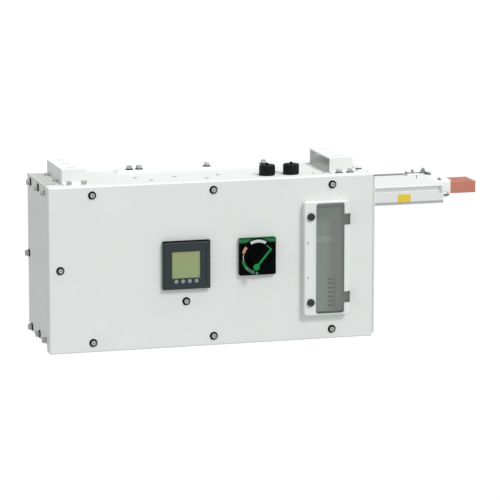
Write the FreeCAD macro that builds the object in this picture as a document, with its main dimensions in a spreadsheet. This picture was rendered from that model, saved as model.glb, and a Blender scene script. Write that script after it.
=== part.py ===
import FreeCAD, Part
import os
import Sketcher
from FreeCAD import Placement, Rotation, Vector
from math import pi
from types import SimpleNamespace

# A sheet-steel tap-off box for a busbar run, hung from two brackets, that houses a four-pole moulded case
# circuit breaker with a handle on the door. Everything is drawn from the middle of the door's front face,
# +X to the right, +Y to the back, +Z up. Each piece is then placed in the hanger's frame, whose origin is
# the middle of the two hanger plates' top faces.

SIZES = {
    # folded sheet enclosure
    "sheet": 2,
    "door_overhang": 1,
    "door_above_roof": 4.5,
    "door_below_floor": 13.5,
    "door_depth": 25,
    "fold_radius": 3,
    "casing_width": 662,
    "roof_top": 161,
    "floor_below": 152,
    "casing_front": 26,
    "casing_back": 199,
    "panel_rise": 5,
    "end_flange": 18,
    # rim that the door closes on
    "neck_inset_left": 13,
    "neck_inset_right": 20,
    "neck_below_roof": 4,
    "rim_front": 6,
    "rim_inset_side": 33,
    "rim_inset_top": 21,
    "rim_inset_bottom": 18,
    "seal_width": 6,
    "seal_inset": 1,
    "contact_gap": 0.3,
    "cut_over": 1,
    # captive door screws
    "screw_inset": 87,
    "screw_below_neck": 8.8,
    "screw_above_floor": 6.3,
    "screw_left_inset": 21.5,
    "screw_left_up": 1.7,
    "post_left": 56,
    "post_down": 72,
    "post_radius": 8,
    "post_bore": 18,
    "door_screw_radius": 2.5,
    "door_screw_head_radius": 5.25,
    "door_screw_head": 4,
    "door_screw_reach": 12,
    "swing_clearance": 0.9,
    "screw_fit": 0.2,
    "screw_seal_radius": 8,
    "screw_seal": 1.5,
    "nut_across": 8.8,
    "nut_thickness": 4,
    # piano hinge
    "hinge_beyond": 2.4,
    "hinge_behind": 3,
    "hinge_inset": 6.5,
    "knuckle_radius": 2.2,
    "knuckle_gap": 0.4,
    "hinge_pin_radius": 1.1,
    "pin_fit": 0.05,
    "leaf": 1,
    "door_leaf_back": 21,
    "casing_leaf_joggle": 27,
    "casing_leaf_back": 43,
    # side panel screws
    "side_screw_across": 11,
    "side_screw_head": 8.5,
    "side_screw_inset": 9,
    "side_screw_first": 37,
    "side_screw_middle_row": 97,
    "side_screw_third_ahead": 31,
    "side_screw_middle_ahead": 11,
    # hanger brackets
    "hanger_left_inset": 65,
    "hanger_right_inset": 47,
    "hanger_width": 49,
    "hanger_height": 29.5,
    "hanger_depth": 137,
    "hanger_sheet": 2.5,
    "hanger_front_foot": 34,
    "hanger_side_foot": 20,
    "slot_pitch": 48,
    "slot_ahead": 61,
    "slot_radius": 3.5,
    "slot_length": 16,
    "side_foot_ahead": 21,
    "foot_bolt_ahead": 22,
    "foot_bolt_spread_left": 30,
    "foot_bolt_spread_right": 23,
    "side_bolt_out": 7,
    "side_bolt_behind": 31,
    "side_bolt_pitch": 76,
    "side_bolt_head": 3.5,
    "bolt_across": 11,
    "bolt_head": 8,
    # roof rail with its bolts, and the cable glands
    "rail_from_hanger": 116,
    "rail_length": 340,
    "rail_depth_over": 27,
    "rail_height": 4,
    "rail_bolt_ahead": 13,
    "rail_bolt_first": 25.7,
    "rail_bolt_pair": 20,
    "rail_bolt_third": 187,
    "rail_bolt_last": 307,
    "gland_left": 130,
    "gland_pitch": 50,
    "gland_back": 69,
    "gland_radius": 15.5,
    "gland_height": 21,
    "gland_flange_radius": 16.5,
    "gland_flange": 2.5,
    "gland_thread_radius": 12,
    "gland_below": 12,
    "gland_nut_across": 30,
    "gland_nut": 5,
    "gland_nub_radius": 2.5,
    "gland_nub": 4,
    "thread_fit": 0.1,
    # hinged window over the module row
    "frame_latch_side": 53.3,
    "frame_hinge_side": 40.2,
    "frame_under_pane": 3.6,
    "frame_over_pane": 4,
    "frame_depth": 15,
    "frame_wall": 2.5,
    "frame_corner": 6,
    "pane_side": 29.1,
    "pane_under_row": 2.4,
    "pane_over_row": 4.5,
    "pane_corner": 5,
    "pane_proud": 1.5,
    "pane_thickness": 4,
    "pane_lip": 2,
    "pane_fit": 0.2,
    "flap_hinge_side": 40,
    "flap_hinge_ahead": 12.5,
    "flap_knuckle_radius": 2.5,
    "flap_pin_radius": 1.25,
    "flap_tab_inset": 29,
    "flap_tab_height": 22,
    "flap_knuckle_height": 14,
    "flap_strap": 1.4,
    "latch_side": 40.5,
    "latch_inset": 21.2,
    "latch_radius": 7.5,
    "latch_height": 6,
    "latch_stem_radius": 2.5,
    "latch_collar_radius": 4,
    "tunnel_side": 30.25,
    "tunnel_under_pane": 1.1,
    "tunnel_below_pane": 0.5,
    "tunnel_wall": 2.5,
    "tunnel_depth": 20,
    # module row behind the window
    "fascia_gap": 1.5,
    "fascia": 2,
    "fascia_margin": 2,
    "fascia_tab": 18,
    "module_width": 45,
    "module_row": 216,
    "strip_fit": 0.5,
    "strip_lip": 2,
    "strip_rib_pitch": 9,
    "strip_rib_width": 15,
    "strip_rib_first": 43,
    "module_inset": 93.2,
    "rail_width": 35,
    "rail_web": 25,
    "rail_depth": 7.5,
    "rail_sheet": 1.2,
    "rail_over_plate": 23,
    "rail_under_bars": 8,
    "rail_front_back": 96,
    "rail_foot": 15,
    # power meter
    "meter_left": 56.1,
    "meter_up": 1.1,
    "meter_face": 96,
    "meter_proud": 12,
    "meter_bevel": 3,
    "meter_case_width": 90,
    "meter_cutout": 92,
    "meter_depth": 48,
    "meter_clip_height": 22,
    "meter_terminal_depth": 12,
    "meter_terminal_height": 16,
    "meter_terminal_inset": 8,
    "screen_width": 58.2,
    "screen_height": 53.3,
    "screen_from_left": 17.1,
    "screen_from_top": 20.1,
    "screen_recess": 1.2,
    "button_radius": 4.5,
    "button_first": 25.8,
    "button_pitch": 13.74,
    "button_from_top": 79.7,
    "button_bore": 7,
    "button_travel": 1.2,
    "button_length": 5.2,
    # rotary handle
    "handle_right": 89.5,
    "handle_up": 11.3,
    "plate_size": 75,
    "plate_proud": 8.5,
    "plate_corner": 3,
    "dial_radius": 36.5,
    "dial_inner_radius": 29.5,
    "dial_height": 3,
    "hub_radius": 17,
    "hub_front": 20,
    "grip_front": 33,
    "grip_long_arm": 29,
    "grip_short_arm": 23,
    "grip_width": 13,
    "grip_angle": 50,
    "spindle_radius": 9,
    "spindle_back": 18,
    "socket_radius": 6.2,
    "bush_radius": 13.5,
    "bush_flange_radius": 20,
    "bush_back": 16,
    "bush_flange": 4,
    "shaft_across": 7,
    "shaft_front": 8,
    # moulded case circuit breaker
    "handle_pole": 2.5,
    "pole_pitch": 35,
    "breaker_height": 161,
    "breaker_under_links": 1.2,
    "breaker_depth": 86,
    "breaker_base": 44,
    "nose_proud": 6,
    "nose_width": 93,
    "nose_height": 84,
    "lug_inset": 1,
    "lug_pocket_width": 25,
    "lug_pocket_depth": 22,
    "lug_pocket_front": 20,
    "lug_pocket_back": 24,
    "case_corner": 2.5,
    "lug_screw_across": 10,
    "lug_screw_head": 6,
    "mechanism_width": 91,
    "mechanism_height": 73,
    "mechanism_front": 55,
    "mechanism_wall": 3,
    "journal_radius": 6,
    "toggle_pivot_back": 118,
    "toggle_reach": 50,
    "toggle_width": 14,
    "toggle_thickness": 10,
    "toggle_tip": 6,
    "toggle_play": 1.5,
    "toggle_swing": 17,
    "toggle_trunnion_radius": 2,
    "toggle_trunnion": 4,
    "toggle_slot": 46,
    "trip_unit_height": 30,
    "trip_unit_proud": 3,
    "trip_dial_radius": 5,
    # mounting plate
    "plate_left": 125,
    "plate_right_inset": 41,
    "plate_over_floor": 14,
    "plate_under_roof": 16,
    "plate_ahead": 15,
    "standoff_radius": 6,
    # power path
    "bar_over_trunk": 11.3,
    "bar_height": 24,
    "bar_thickness": 8,
    "bar_pitch": 16,
    "bar_behind_trunk": 45,
    "bar_beyond": 84,
    "link_width": 25,
    "link_thickness": 4,
    "link_under": 5,
    "load_bar_width": 20,
    "load_bar_reach": 55.8,
    "load_hole_radius": 4.5,
    "load_hole_inset": 9,
    "transformer_width": 33,
    "transformer_depth": 36,
    "transformer_height": 28,
    "transformer_gap": 6.8,
    "transformer_fit": 0.3,
    "bar_support_width": 14,
    "bar_support_margin": 8,
    "bar_support_gap": 92,
    "bar_support_inset": 39,
    "earth_inset": 13,
    "earth_length": 100,
    "earth_height": 20,
    "earth_over_plate": 26,
    "earth_thickness": 5,
    "earth_standoff": 14,
    # busbar trunking stub
    "trunk_inside": 15,
    "trunk_outside": 166.5,
    "trunk_depth": 147,
    "trunk_ahead": 7,
    "trunk_height": 38.3,
    "trunk_below_roof": 32,
    "trunk_wall": 2.5,
    "trunk_brow": 3.5,
    "trunk_groove": 6.5,
    "trunk_groove_depth": 3.5,
    "trunk_sill": 5.5,
    "trunk_sill_depth": 5,
    "trunk_collar": 7,
    "trunk_fit": 0.5,
    "insulator_beyond": 27,
    "insulator_step": 8,
    "insulator_inside": 26,
    "insulator_margin": 8,
    "insulator_over": 2,
    "clamp_length": 38,
    "clamp_depth": 25.5,
    "clamp_thickness": 3,
    "clamp_bolt_inset": 9,
    "end_bolt_radius": 3.6,
    "end_bolt_length": 24.5,
    "end_bolt_gap": 1,
    "end_bolt_over": 0.5,
    "strip_ahead": 17,
    "strip_wide": 5,
}

DOOR_SCREW_COLUMNS = (-1, 0, 1)
HINGE_KNUCKLES = 4
FEW_SIDES = 8
SMALL_SIDES = 12
ROUND_SIDES = 24
POLES = 4
BUTTONS = 4
STRIP_RIBS = 8
EARTH_BOLTS = 4
HEX_CORNER = 1 / 3 ** 0.5  # circumradius of a hexagon over its width across the flats
ALONG = {
    "X": Rotation(Vector(0, 1, 0), 90),
    "Y": Rotation(Vector(1, 0, 0), -90),
    "Z": Rotation(),
}

doc = FreeCAD.newDocument("tap_off_box")
sheet = doc.addObject("Spreadsheet::Sheet", "sizes")
pieces = []


class Size:
    """A length, and the formula over the sheet's cells that gives it."""

    def __init__(self, value, formula):
        self.value = value
        self.formula = formula

    def __add__(self, other):
        other = size(other)
        return Size(self.value + other.value, f"({self.formula} + {other.formula})")

    def __sub__(self, other):
        other = size(other)
        return Size(self.value - other.value, f"({self.formula} - {other.formula})")

    def __mul__(self, other):
        other = size(other)
        return Size(self.value * other.value, f"({self.formula} * {other.formula})")

    def __truediv__(self, other):
        other = size(other)
        return Size(self.value / other.value, f"({self.formula} / {other.formula})")

    def __neg__(self):
        return Size(-self.value, f"(0 - {self.formula})")

    def __radd__(self, other):
        return size(other) + self

    def __rsub__(self, other):
        return size(other) - self

    def __rmul__(self, other):
        return size(other) * self


def size(number):
    """A plain number as a Size; a Size stays as it is."""
    return number if isinstance(number, Size) else Size(number, repr(number))


def fill_sheet(cells):
    """Write one named cell for each driving dimension and give them back by name."""
    named = {}
    for row, (alias, number) in enumerate(cells.items(), start=1):
        sheet.set(f"A{row}", alias)
        sheet.set(f"B{row}", str(number))
        sheet.setAlias(f"B{row}", alias)
        named[alias] = Size(number, f"sizes.{alias}")
    doc.recompute()
    return SimpleNamespace(**named)


s = fill_sheet(SIZES)


def add_places():
    """The places that follow from the driving sizes, so that a changed size takes its neighbours along."""
    side, row = s.casing_width / 2, s.module_row / 2
    s.door_width = s.casing_width + 2 * s.door_overhang
    s.door_top = s.roof_top + s.door_above_roof
    s.door_bottom = -s.floor_below - s.door_below_floor
    s.neck_left = side - s.neck_inset_left
    s.neck_right = side - s.neck_inset_right
    s.neck_top = s.roof_top - s.neck_below_roof
    s.rim_opening = s.casing_width - 2 * s.rim_inset_side
    s.rim_opening_top = s.neck_top - s.rim_inset_top
    s.rim_opening_bottom = s.floor_below - s.rim_inset_bottom
    s.screw_spacing = s.door_width / 2 - s.screw_inset
    s.screw_row_top = s.neck_top - s.screw_below_neck
    s.screw_row_bottom = s.floor_below - s.screw_above_floor
    s.screw_left_out = side - s.screw_left_inset
    s.hinge_out = s.door_width / 2 + s.hinge_beyond
    s.hinge_low = s.door_bottom + s.hinge_inset
    s.hinge_length = s.door_top - s.hinge_inset - s.hinge_low
    s.hanger_left = s.hanger_left_inset - side
    s.hanger_right = side - s.hanger_right_inset
    s.hanger_front = s.casing_back - s.hanger_depth
    s.slot_middle_back = s.casing_back - s.slot_ahead
    s.rail_left = s.hanger_left + s.rail_from_hanger
    s.module_middle = side - s.module_inset
    s.pane_left, s.pane_right = s.module_middle - s.pane_side, s.module_middle + s.pane_side
    s.pane_bottom, s.pane_top = row + s.pane_under_row, row + s.pane_over_row
    s.frame_left = s.module_middle - s.frame_latch_side
    s.frame_right = s.module_middle + s.frame_hinge_side
    s.frame_bottom, s.frame_top = s.pane_bottom + s.frame_under_pane, s.pane_top + s.frame_over_pane
    s.flap_hinge_out = s.module_middle + s.flap_hinge_side
    s.flap_tab_up = row - s.flap_tab_inset
    s.latch_out = s.module_middle - s.latch_side
    s.latch_up = row - s.latch_inset
    s.tunnel_left, s.tunnel_right = s.module_middle - s.tunnel_side, s.module_middle + s.tunnel_side
    s.tunnel_bottom, s.tunnel_top = s.pane_bottom + s.tunnel_under_pane, s.pane_top - s.tunnel_below_pane
    s.breaker_left = s.handle_right - s.handle_pole * s.pole_pitch
    s.plate_right = side - s.plate_right_inset
    s.plate_bottom = s.floor_below - s.plate_over_floor
    s.plate_top = s.roof_top - s.plate_under_roof
    s.plate_front = s.casing_back - s.plate_ahead
    s.trunk_start, s.trunk_end = side - s.trunk_inside, side + s.trunk_outside
    s.trunk_back = s.casing_back - s.trunk_ahead
    s.trunk_front = s.trunk_back - s.trunk_depth
    s.trunk_top = s.roof_top - s.trunk_below_roof
    s.trunk_bottom = s.trunk_top - s.trunk_height
    s.trunk_inner = s.trunk_front + s.trunk_sill_depth + s.trunk_wall
    s.bar_bottom = s.trunk_bottom + s.bar_over_trunk
    s.bar_first = s.trunk_front + s.bar_behind_trunk
    s.bar_end = s.trunk_end + s.bar_beyond
    s.link_run = s.bar_bottom - s.link_under
    s.breaker_high = s.link_run - s.link_thickness - s.breaker_under_links
    s.breaker_low = s.breaker_high - s.breaker_height
    s.insulator_start = s.trunk_end - s.insulator_inside
    s.insulator_end = s.trunk_end + s.insulator_beyond
    s.clamp_left = s.trunk_end - s.clamp_length
    s.clamp_front = s.trunk_back - s.trunk_wall - s.clamp_depth


add_places()


# Sketches, each bound to the sheet point by point

def fix_point(sketch, geometry, end, x, y):
    """Hold one point of a sketch at (x, y) from the sketch's origin."""
    for kind, coordinate in (("DistanceX", size(x)), ("DistanceY", size(y))):
        constraint = Sketcher.Constraint(kind, -1, 1, geometry, end, float(coordinate.value))
        index = sketch.addConstraint(constraint)
        sketch.setExpression(f"Constraints[{index}]", coordinate.formula)


def path(*points):
    """A closed outline through the points."""
    def draw(sketch):
        corners = [Vector(size(x).value, size(y).value, 0) for x, y in points]
        ends = corners[1:] + corners[:1]
        lines = [sketch.addGeometry(Part.LineSegment(a, b), False) for a, b in zip(corners, ends)]
        for number, line in enumerate(lines):
            following = lines[(number + 1) % len(lines)]
            sketch.addConstraint(Sketcher.Constraint("Coincident", line, 2, following, 1))
            fix_point(sketch, line, 1, *points[number])
    return draw


def rectangle(left, low, right, high):
    """A rectangle between two corners."""
    return path((left, low), (right, low), (right, high), (left, high))


def disc(x, y, radius):
    """A circle."""
    def draw(sketch):
        centre = Vector(size(x).value, size(y).value, 0)
        circle = sketch.addGeometry(Part.Circle(centre, Vector(0, 0, 1), size(radius).value), False)
        fix_point(sketch, circle, 3, x, y)
        index = sketch.addConstraint(Sketcher.Constraint("Radius", circle, size(radius).value))
        sketch.setExpression(f"Constraints[{index}]", size(radius).formula)
    return draw


def slot(x, y, length, radius):
    """A slot along the sketch's first axis, with round ends."""
    def draw(sketch):
        reach = size(length) / 2 - radius
        centre, run, r = Vector(size(x).value, size(y).value, 0), reach.value, size(radius).value
        left, right, up = centre - Vector(run, 0, 0), centre + Vector(run, 0, 0), Vector(0, r, 0)
        quarter = pi / 2
        top = sketch.addGeometry(Part.LineSegment(right + up, left + up), False)
        round_left = sketch.addGeometry(
            Part.ArcOfCircle(Part.Circle(left, Vector(0, 0, 1), r), quarter, 3 * quarter), False)
        low = sketch.addGeometry(Part.LineSegment(left - up, right - up), False)
        round_right = sketch.addGeometry(
            Part.ArcOfCircle(Part.Circle(right, Vector(0, 0, 1), r), -quarter, quarter), False)
        ring = (top, round_left, low, round_right)
        for first, second in zip(ring, ring[1:] + ring[:1]):
            sketch.addConstraint(Sketcher.Constraint("Tangent", first, 2, second, 1))
        fix_point(sketch, round_left, 3, size(x) - reach, y)
        fix_point(sketch, round_right, 3, size(x) + reach, y)
        index = sketch.addConstraint(Sketcher.Constraint("Radius", round_left, r))
        sketch.setExpression(f"Constraints[{index}]", size(radius).formula)
    return draw


# Features and solids

def new_body(name):
    return doc.addObject("PartDesign::Body", name + "_body")


def sketch_on(body, plane, height, outlines):
    """A sketch on one of the body's own origin planes, height along that plane's normal."""
    sketch = body.newObject("Sketcher::SketchObject", body.Name + "_sketch")
    support = [feature for feature in body.Origin.OriginFeatures if feature.Role == plane + "_Plane"]
    sketch.AttachmentSupport = [(support[0], "")]
    sketch.MapMode = "FlatFace"
    sketch.setExpression("AttachmentOffset.Base.z", size(height).formula)
    for outline in outlines:
        outline(sketch)
    return sketch


def extrude(body, plane, low, high, *outlines, cut=False):
    """Add, or cut, what the outlines sweep between two places along the plane's axis."""
    low, high = size(low), size(high)
    start = -high if plane == "XZ" else low
    kind = "PartDesign::Pocket" if cut else "PartDesign::Pad"
    sketch = sketch_on(body, plane, start, outlines)
    feature = body.newObject(kind, body.Name + ("_cut" if cut else "_pad"))
    feature.Profile = sketch
    feature.Reversed = cut
    feature.setExpression("Length", (high - low).formula)
    return feature


def soften(body, kind, radius, chosen):
    """Fillet or chamfer the edges of the body's last shape that the test picks."""
    doc.recompute()
    base = body.Tip
    names = [f"Edge{number}" for number, edge in enumerate(base.Shape.Edges, start=1) if chosen(edge)]
    feature = body.newObject("PartDesign::" + kind, body.Name + "_" + kind.lower())
    feature.Base = (base, names)
    feature.setExpression("Radius" if kind == "Fillet" else "Size", size(radius).formula)
    return feature


def place(thing, x, y, z):
    for axis, distance in zip("xyz", (x, y, z)):
        thing.setExpression(f"Placement.Base.{axis}", size(distance).formula)


def block(x, y, z):
    """A box between a low and a high value on each axis."""
    box = doc.addObject("Part::Box", "block")
    for side, (low, high) in zip(("Length", "Width", "Height"), (x, y, z)):
        box.setExpression(side, (size(high) - low).formula)
    place(box, x[0], y[0], z[0])
    return box


def rod(axis, start, length, radius, far_radius=None):
    """A cylinder or a cone along an axis, from a point."""
    if far_radius is None:
        solid = doc.addObject("Part::Cylinder", "rod")
        solid.setExpression("Radius", size(radius).formula)
    else:
        solid = doc.addObject("Part::Cone", "cone")
        solid.setExpression("Radius1", size(radius).formula)
        solid.setExpression("Radius2", size(far_radius).formula)
    solid.setExpression("Height", size(length).formula)
    solid.Placement = Placement(Vector(), ALONG[axis])
    place(solid, *start)
    return solid


def prism(axis, start, length, radius, sides=SMALL_SIDES):
    """A regular prism along an axis, for a small round piece."""
    solid = doc.addObject("Part::Prism", "prism")
    solid.Polygon = sides
    solid.setExpression("Circumradius", size(radius).formula)
    solid.setExpression("Height", size(length).formula)
    solid.Placement = Placement(Vector(), ALONG[axis])
    place(solid, *start)
    return solid


def hexagon(axis, start, length, across):
    """A hexagonal prism along an axis, by its width across the flats."""
    return prism(axis, start, length, across * HEX_CORNER, 6)


def fuse(*solids):
    joined = doc.addObject("Part::MultiFuse", "joined")
    joined.Shapes = list(solids)
    joined.Refine = True
    return joined


def drill(base, places, low, high, radius, sides=SMALL_SIDES):
    """Holes along Y with few faces, at each (x, z), for fasteners and for what is out of sight."""
    return cut(base, *[prism("Y", (x, low, z), size(high) - low, radius, sides) for x, z in places])


def cut(base, *tools):
    result = doc.addObject("Part::Cut", "cut")
    result.Base = base
    result.Tool = tools[0] if len(tools) == 1 else fuse(*tools)
    return result


def piece(label, *solids, at=(0, 0, 0), turn=None):
    """Name a sub-part and place it in the hanger's frame."""
    if len(solids) == 1 and solids[0].TypeId == "PartDesign::Body":
        thing = solids[0]
    else:
        thing = doc.addObject("Part::Compound", label)
        thing.Links = list(solids)
    thing.Label = label
    if turn is not None:
        thing.Placement = Placement(Vector(), turn)
    origin = ((s.hanger_left + s.hanger_right) / 2, s.slot_middle_back, s.roof_top + s.hanger_height)
    place(thing, *(size(distance) - shift for distance, shift in zip(at, origin)))
    pieces.append(thing)


def screw_places():
    """Where the captive screws meet the rim, as (x, z)."""
    rows = [(column * s.screw_spacing, height) for height in (s.screw_row_top, -s.screw_row_bottom)
            for column in DOOR_SCREW_COLUMNS]
    return rows + [(-s.screw_left_out, s.screw_left_up)]


def door_screw_places():
    """All the captive screws of the door, the middle one with its own post included."""
    return screw_places() + [(-s.post_left, -s.post_down)]


def runs_back(edge):
    """Whether an edge runs from front to back."""
    first, last = edge.Vertexes[0], edge.Vertexes[-1]
    return abs(first.Y - last.Y) > 1 and abs(first.X - last.X) + abs(first.Z - last.Z) < 0.01


def lies_at(place):
    """A test for the edges that lie in the plane at this place along Y."""
    return lambda edge: all(abs(vertex.Y - place.value) < 0.01 for vertex in edge.Vertexes)


# Enclosure

def casing_wrapper():
    """Roof, back and floor in one folded sheet, with folded end flanges that the side panels screw to."""
    half = s.casing_width / 2 - s.sheet
    front, back, top, low = s.casing_front, s.casing_back, s.roof_top, -s.floor_below
    body = new_body("casing_wrapper")
    extrude(body, "YZ", -half, half, path(
        (front, low), (back, low), (back, top), (front, top), (front, top - s.sheet),
        (back - s.sheet, top - s.sheet), (back - s.sheet, low + s.sheet), (front, low + s.sheet)))
    depth = front + s.sheet + s.contact_gap
    for start, end in ((-half, s.sheet - half), (half - s.sheet, half)):
        extrude(body, "YZ", start, end, path(
            (depth, low), (back, low), (back, top), (depth, top), (depth, top - s.end_flange),
            (back - s.end_flange, top - s.end_flange), (back - s.end_flange, low + s.end_flange),
            (depth, low + s.end_flange)))
    extrude(body, "YZ", half - s.sheet, half, rectangle(
        s.trunk_front - s.trunk_fit, s.trunk_bottom - s.trunk_fit,
        s.trunk_back + s.trunk_fit, s.trunk_top + s.trunk_fit), cut=True)
    radius = s.gland_thread_radius + s.thread_fit
    piece("casing_wrapper", cut(body, *[
        prism("Z", (x, y, top - s.sheet), s.sheet, radius) for x, y in gland_places()]))


def side_panels():
    """Flat side panels: the left one is whole, the right one is cut out for the trunking."""
    outer, inner = s.casing_width / 2, s.casing_width / 2 - s.sheet
    outline = rectangle(s.casing_front, -s.floor_below, s.casing_back, s.roof_top + s.panel_rise)
    left = new_body("side_panel_left")
    extrude(left, "YZ", -outer, -inner, outline)
    piece("side_panel_left", left)
    right = new_body("side_panel_right")
    extrude(right, "YZ", inner, outer, outline)
    extrude(right, "YZ", inner, outer, rectangle(
        s.trunk_front - s.trunk_fit, s.trunk_bottom - s.trunk_fit,
        s.trunk_back + s.trunk_fit, s.trunk_top + s.trunk_fit), cut=True)
    piece("side_panel_right", right)


def front_frame():
    """The stepped rim that the door closes on: an outer flange, a neck and the seal's face."""
    half, top, low = s.casing_width / 2 - s.sheet, s.roof_top - s.sheet, s.sheet - s.floor_below
    neck = (-s.neck_left, -s.floor_below, s.neck_right, s.neck_top)
    hollow = (s.sheet - s.neck_left, low, s.neck_right - s.sheet, s.neck_top - s.sheet)
    opening = (-s.rim_opening / 2, -s.rim_opening_bottom, s.rim_opening / 2, s.rim_opening_top)
    body = new_body("front_frame")
    extrude(body, "XZ", s.rim_front, s.casing_front, rectangle(*neck))
    flange_back = s.casing_front + s.sheet
    extrude(body, "XZ", s.casing_front, flange_back, rectangle(-half, low, half, top))
    extrude(body, "XZ", s.rim_front + s.sheet, flange_back, rectangle(*hollow), cut=True)
    front, back = s.rim_front, s.rim_front + s.sheet
    extrude(body, "XZ", front, back, rectangle(*opening), cut=True)
    weld_nuts = [hexagon("Y", (x, back, z), s.nut_thickness, s.nut_across) for x, z in screw_places()]
    piece("front_frame", drill(fuse(body, *weld_nuts), screw_places(), front, back + s.nut_thickness,
                               s.door_screw_radius + s.swing_clearance))


def door():
    """The folded door pan with its cut-outs."""
    half, low, high = s.door_width / 2, s.door_bottom, s.door_top
    body = new_body("door")
    extrude(body, "XZ", 0, s.door_depth, rectangle(-half, low, half, high))
    soften(body, "Fillet", s.fold_radius, lambda edge: lies_at(size(0))(edge) or runs_back(edge))
    inner = rectangle(s.sheet - half, low + s.sheet, half - s.sheet, high - s.sheet)
    extrude(body, "XZ", s.sheet, s.door_depth, inner, cut=True)
    reach = s.meter_cutout / 2
    extrude(body, "XZ", 0, s.sheet,
            rectangle(-s.meter_left - reach, s.meter_up - reach, reach - s.meter_left, s.meter_up + reach),
            rectangle(s.tunnel_left, -s.tunnel_bottom, s.tunnel_right, s.tunnel_top), cut=True)
    latches = [(s.latch_out, side * s.latch_up) for side in (-1, 1)]
    bare = drill(body, door_screw_places(), 0, s.sheet, s.door_screw_radius + s.screw_fit, FEW_SIDES)
    bare = drill(bare, latches, 0, s.sheet, s.latch_stem_radius + 2 * s.swing_clearance)
    handle_at = [(s.handle_right, s.handle_up)]
    piece("door", drill(bare, handle_at, 0, s.sheet, s.bush_radius + s.screw_fit, ROUND_SIDES))


def door_seal():
    """The foam strip between the door and the rim."""
    side, gap = s.rim_opening / 2 + s.seal_inset, s.contact_gap
    low, high = -s.rim_opening_bottom - s.seal_inset, s.rim_opening_top + s.seal_inset
    body = new_body("door_gasket")
    extrude(body, "XZ", s.sheet, s.rim_front - gap, rectangle(
        -side - s.seal_width, low - s.seal_width, side + s.seal_width, high + s.seal_width))
    extrude(body, "XZ", s.sheet, s.rim_front - gap, rectangle(-side, low, side, high), cut=True)
    piece("door_gasket", body)


def door_screws():
    """Captive screws, each with a sealing washer under its head."""
    places, face = door_screw_places(), -s.screw_seal
    piece("door_screws", *[
        fuse(prism("Y", (x, face - s.door_screw_head, z), s.door_screw_head, s.door_screw_head_radius, 6),
             prism("Y", (x, face, z), s.door_screw_reach - face, s.door_screw_radius, FEW_SIDES))
        for x, z in places])
    hole = s.door_screw_radius + s.screw_fit
    piece("door_screw_seals", *[
        cut(prism("Y", (x, face, z), s.screw_seal, s.screw_seal_radius, FEW_SIDES),
            prism("Y", (x, face, z), s.screw_seal, hole, FEW_SIDES)) for x, z in places])


def piano_hinge():
    """Two leaves with alternate knuckles on one pin, along the door's right edge."""
    low, high, step = s.hinge_low, s.hinge_low + s.hinge_length, s.hinge_length / HINGE_KNUCKLES
    x, y, r, gap = s.hinge_out, s.hinge_behind, s.knuckle_radius, s.knuckle_gap
    bore = rod("Z", (x, y, low), s.hinge_length, s.hinge_pin_radius + s.pin_fit)

    def knuckles(first):
        return [prism("Z", (x, y, low + step * number + gap / 2), step - gap, r)
                for number in range(first, HINGE_KNUCKLES, 2)]

    def notches(first):
        reach = r + gap
        return [block((x - reach, x + reach), (y - reach, y + reach),
                      (low + step * number - gap / 2, low + step * (number + 1) + gap / 2))
                for number in range(first, HINGE_KNUCKLES, 2)]

    flange = s.door_width / 2
    door_leaf = block((flange, flange + s.leaf), (y, s.door_leaf_back), (low, high))
    piece("hinge_leaf_door", cut(fuse(cut(door_leaf, *notches(1)), *knuckles(0)), bore))
    panel, joggle = s.casing_width / 2, s.casing_leaf_joggle
    body = new_body("hinge_leaf_casing")
    extrude(body, "XY", low, high, path(
        (x, y), (x, joggle), (panel + s.leaf, joggle + 4 * s.leaf), (panel + s.leaf, s.casing_leaf_back),
        (panel, s.casing_leaf_back), (panel, joggle + 3 * s.leaf), (x - s.leaf, joggle - s.leaf),
        (x - s.leaf, y)))
    own_bore = rod("Z", (x, y, low), s.hinge_length, s.hinge_pin_radius + s.pin_fit)
    piece("hinge_leaf_casing", cut(fuse(cut(body, *notches(0)), *knuckles(1)), own_bore))
    piece("hinge_pin", rod("Z", (x, y, low), s.hinge_length, s.hinge_pin_radius))


def side_screws():
    """Hexagon screws that hold both side panels to the casing."""
    rows = [(y, z) for z in (s.roof_top - s.side_screw_inset, s.side_screw_inset - s.floor_below)
            for y in (s.side_screw_first, s.side_screw_middle_row, s.casing_back - s.side_screw_third_ahead)]
    rows.append((s.casing_back - s.side_screw_middle_ahead, (s.roof_top - s.floor_below) / 2))
    outer = s.casing_width / 2
    left = [hexagon("X", (-outer - s.side_screw_head, y, z), s.side_screw_head, s.side_screw_across)
            for y, z in rows]
    right = [hexagon("X", (outer, y, z), s.side_screw_head, s.side_screw_across)
             for y, z in rows if y is not s.side_screw_first]
    piece("side_panel_screws", *left, *right)


# Roof

def hanger_bracket(label, middle, outward):
    """A folded hanger: slotted top plate, front wall with a foot, and a closed outer wall with a foot."""
    roof, top, t = s.roof_top, s.roof_top + s.hanger_height, s.hanger_sheet
    half = s.hanger_width / 2
    inner, outer = middle - outward * half, middle + outward * half
    foot = outer + outward * s.hanger_side_foot
    ascending = (lambda a, b: (a, b)) if outward > 0 else (lambda a, b: (b, a))
    left, right = ascending(inner, outer)
    body = new_body(label)
    extrude(body, "XY", top - t, top, rectangle(left, s.hanger_front, right, s.casing_back))
    for start in (s.hanger_front, s.casing_back - t):
        extrude(body, "XZ", start, start + t, rectangle(left, roof, right, top))
    wall = ascending(outer - outward * t, outer)
    extrude(body, "YZ", *wall, rectangle(s.hanger_front, roof, s.casing_back, top))
    extrude(body, "XY", roof, roof + t, rectangle(
        left, s.hanger_front - s.hanger_front_foot, right, s.hanger_front + t))
    side = ascending(outer - outward * t, foot)
    extrude(body, "XY", roof, roof + t, rectangle(
        side[0], s.hanger_front + s.side_foot_ahead, side[1], s.casing_back))
    extrude(body, "XY", top - t, top, *[
        slot(middle, s.slot_middle_back + step * s.slot_pitch, s.slot_length, s.slot_radius)
        for step in (-1, 0, 1)], cut=True)
    piece(label, body)


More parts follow.
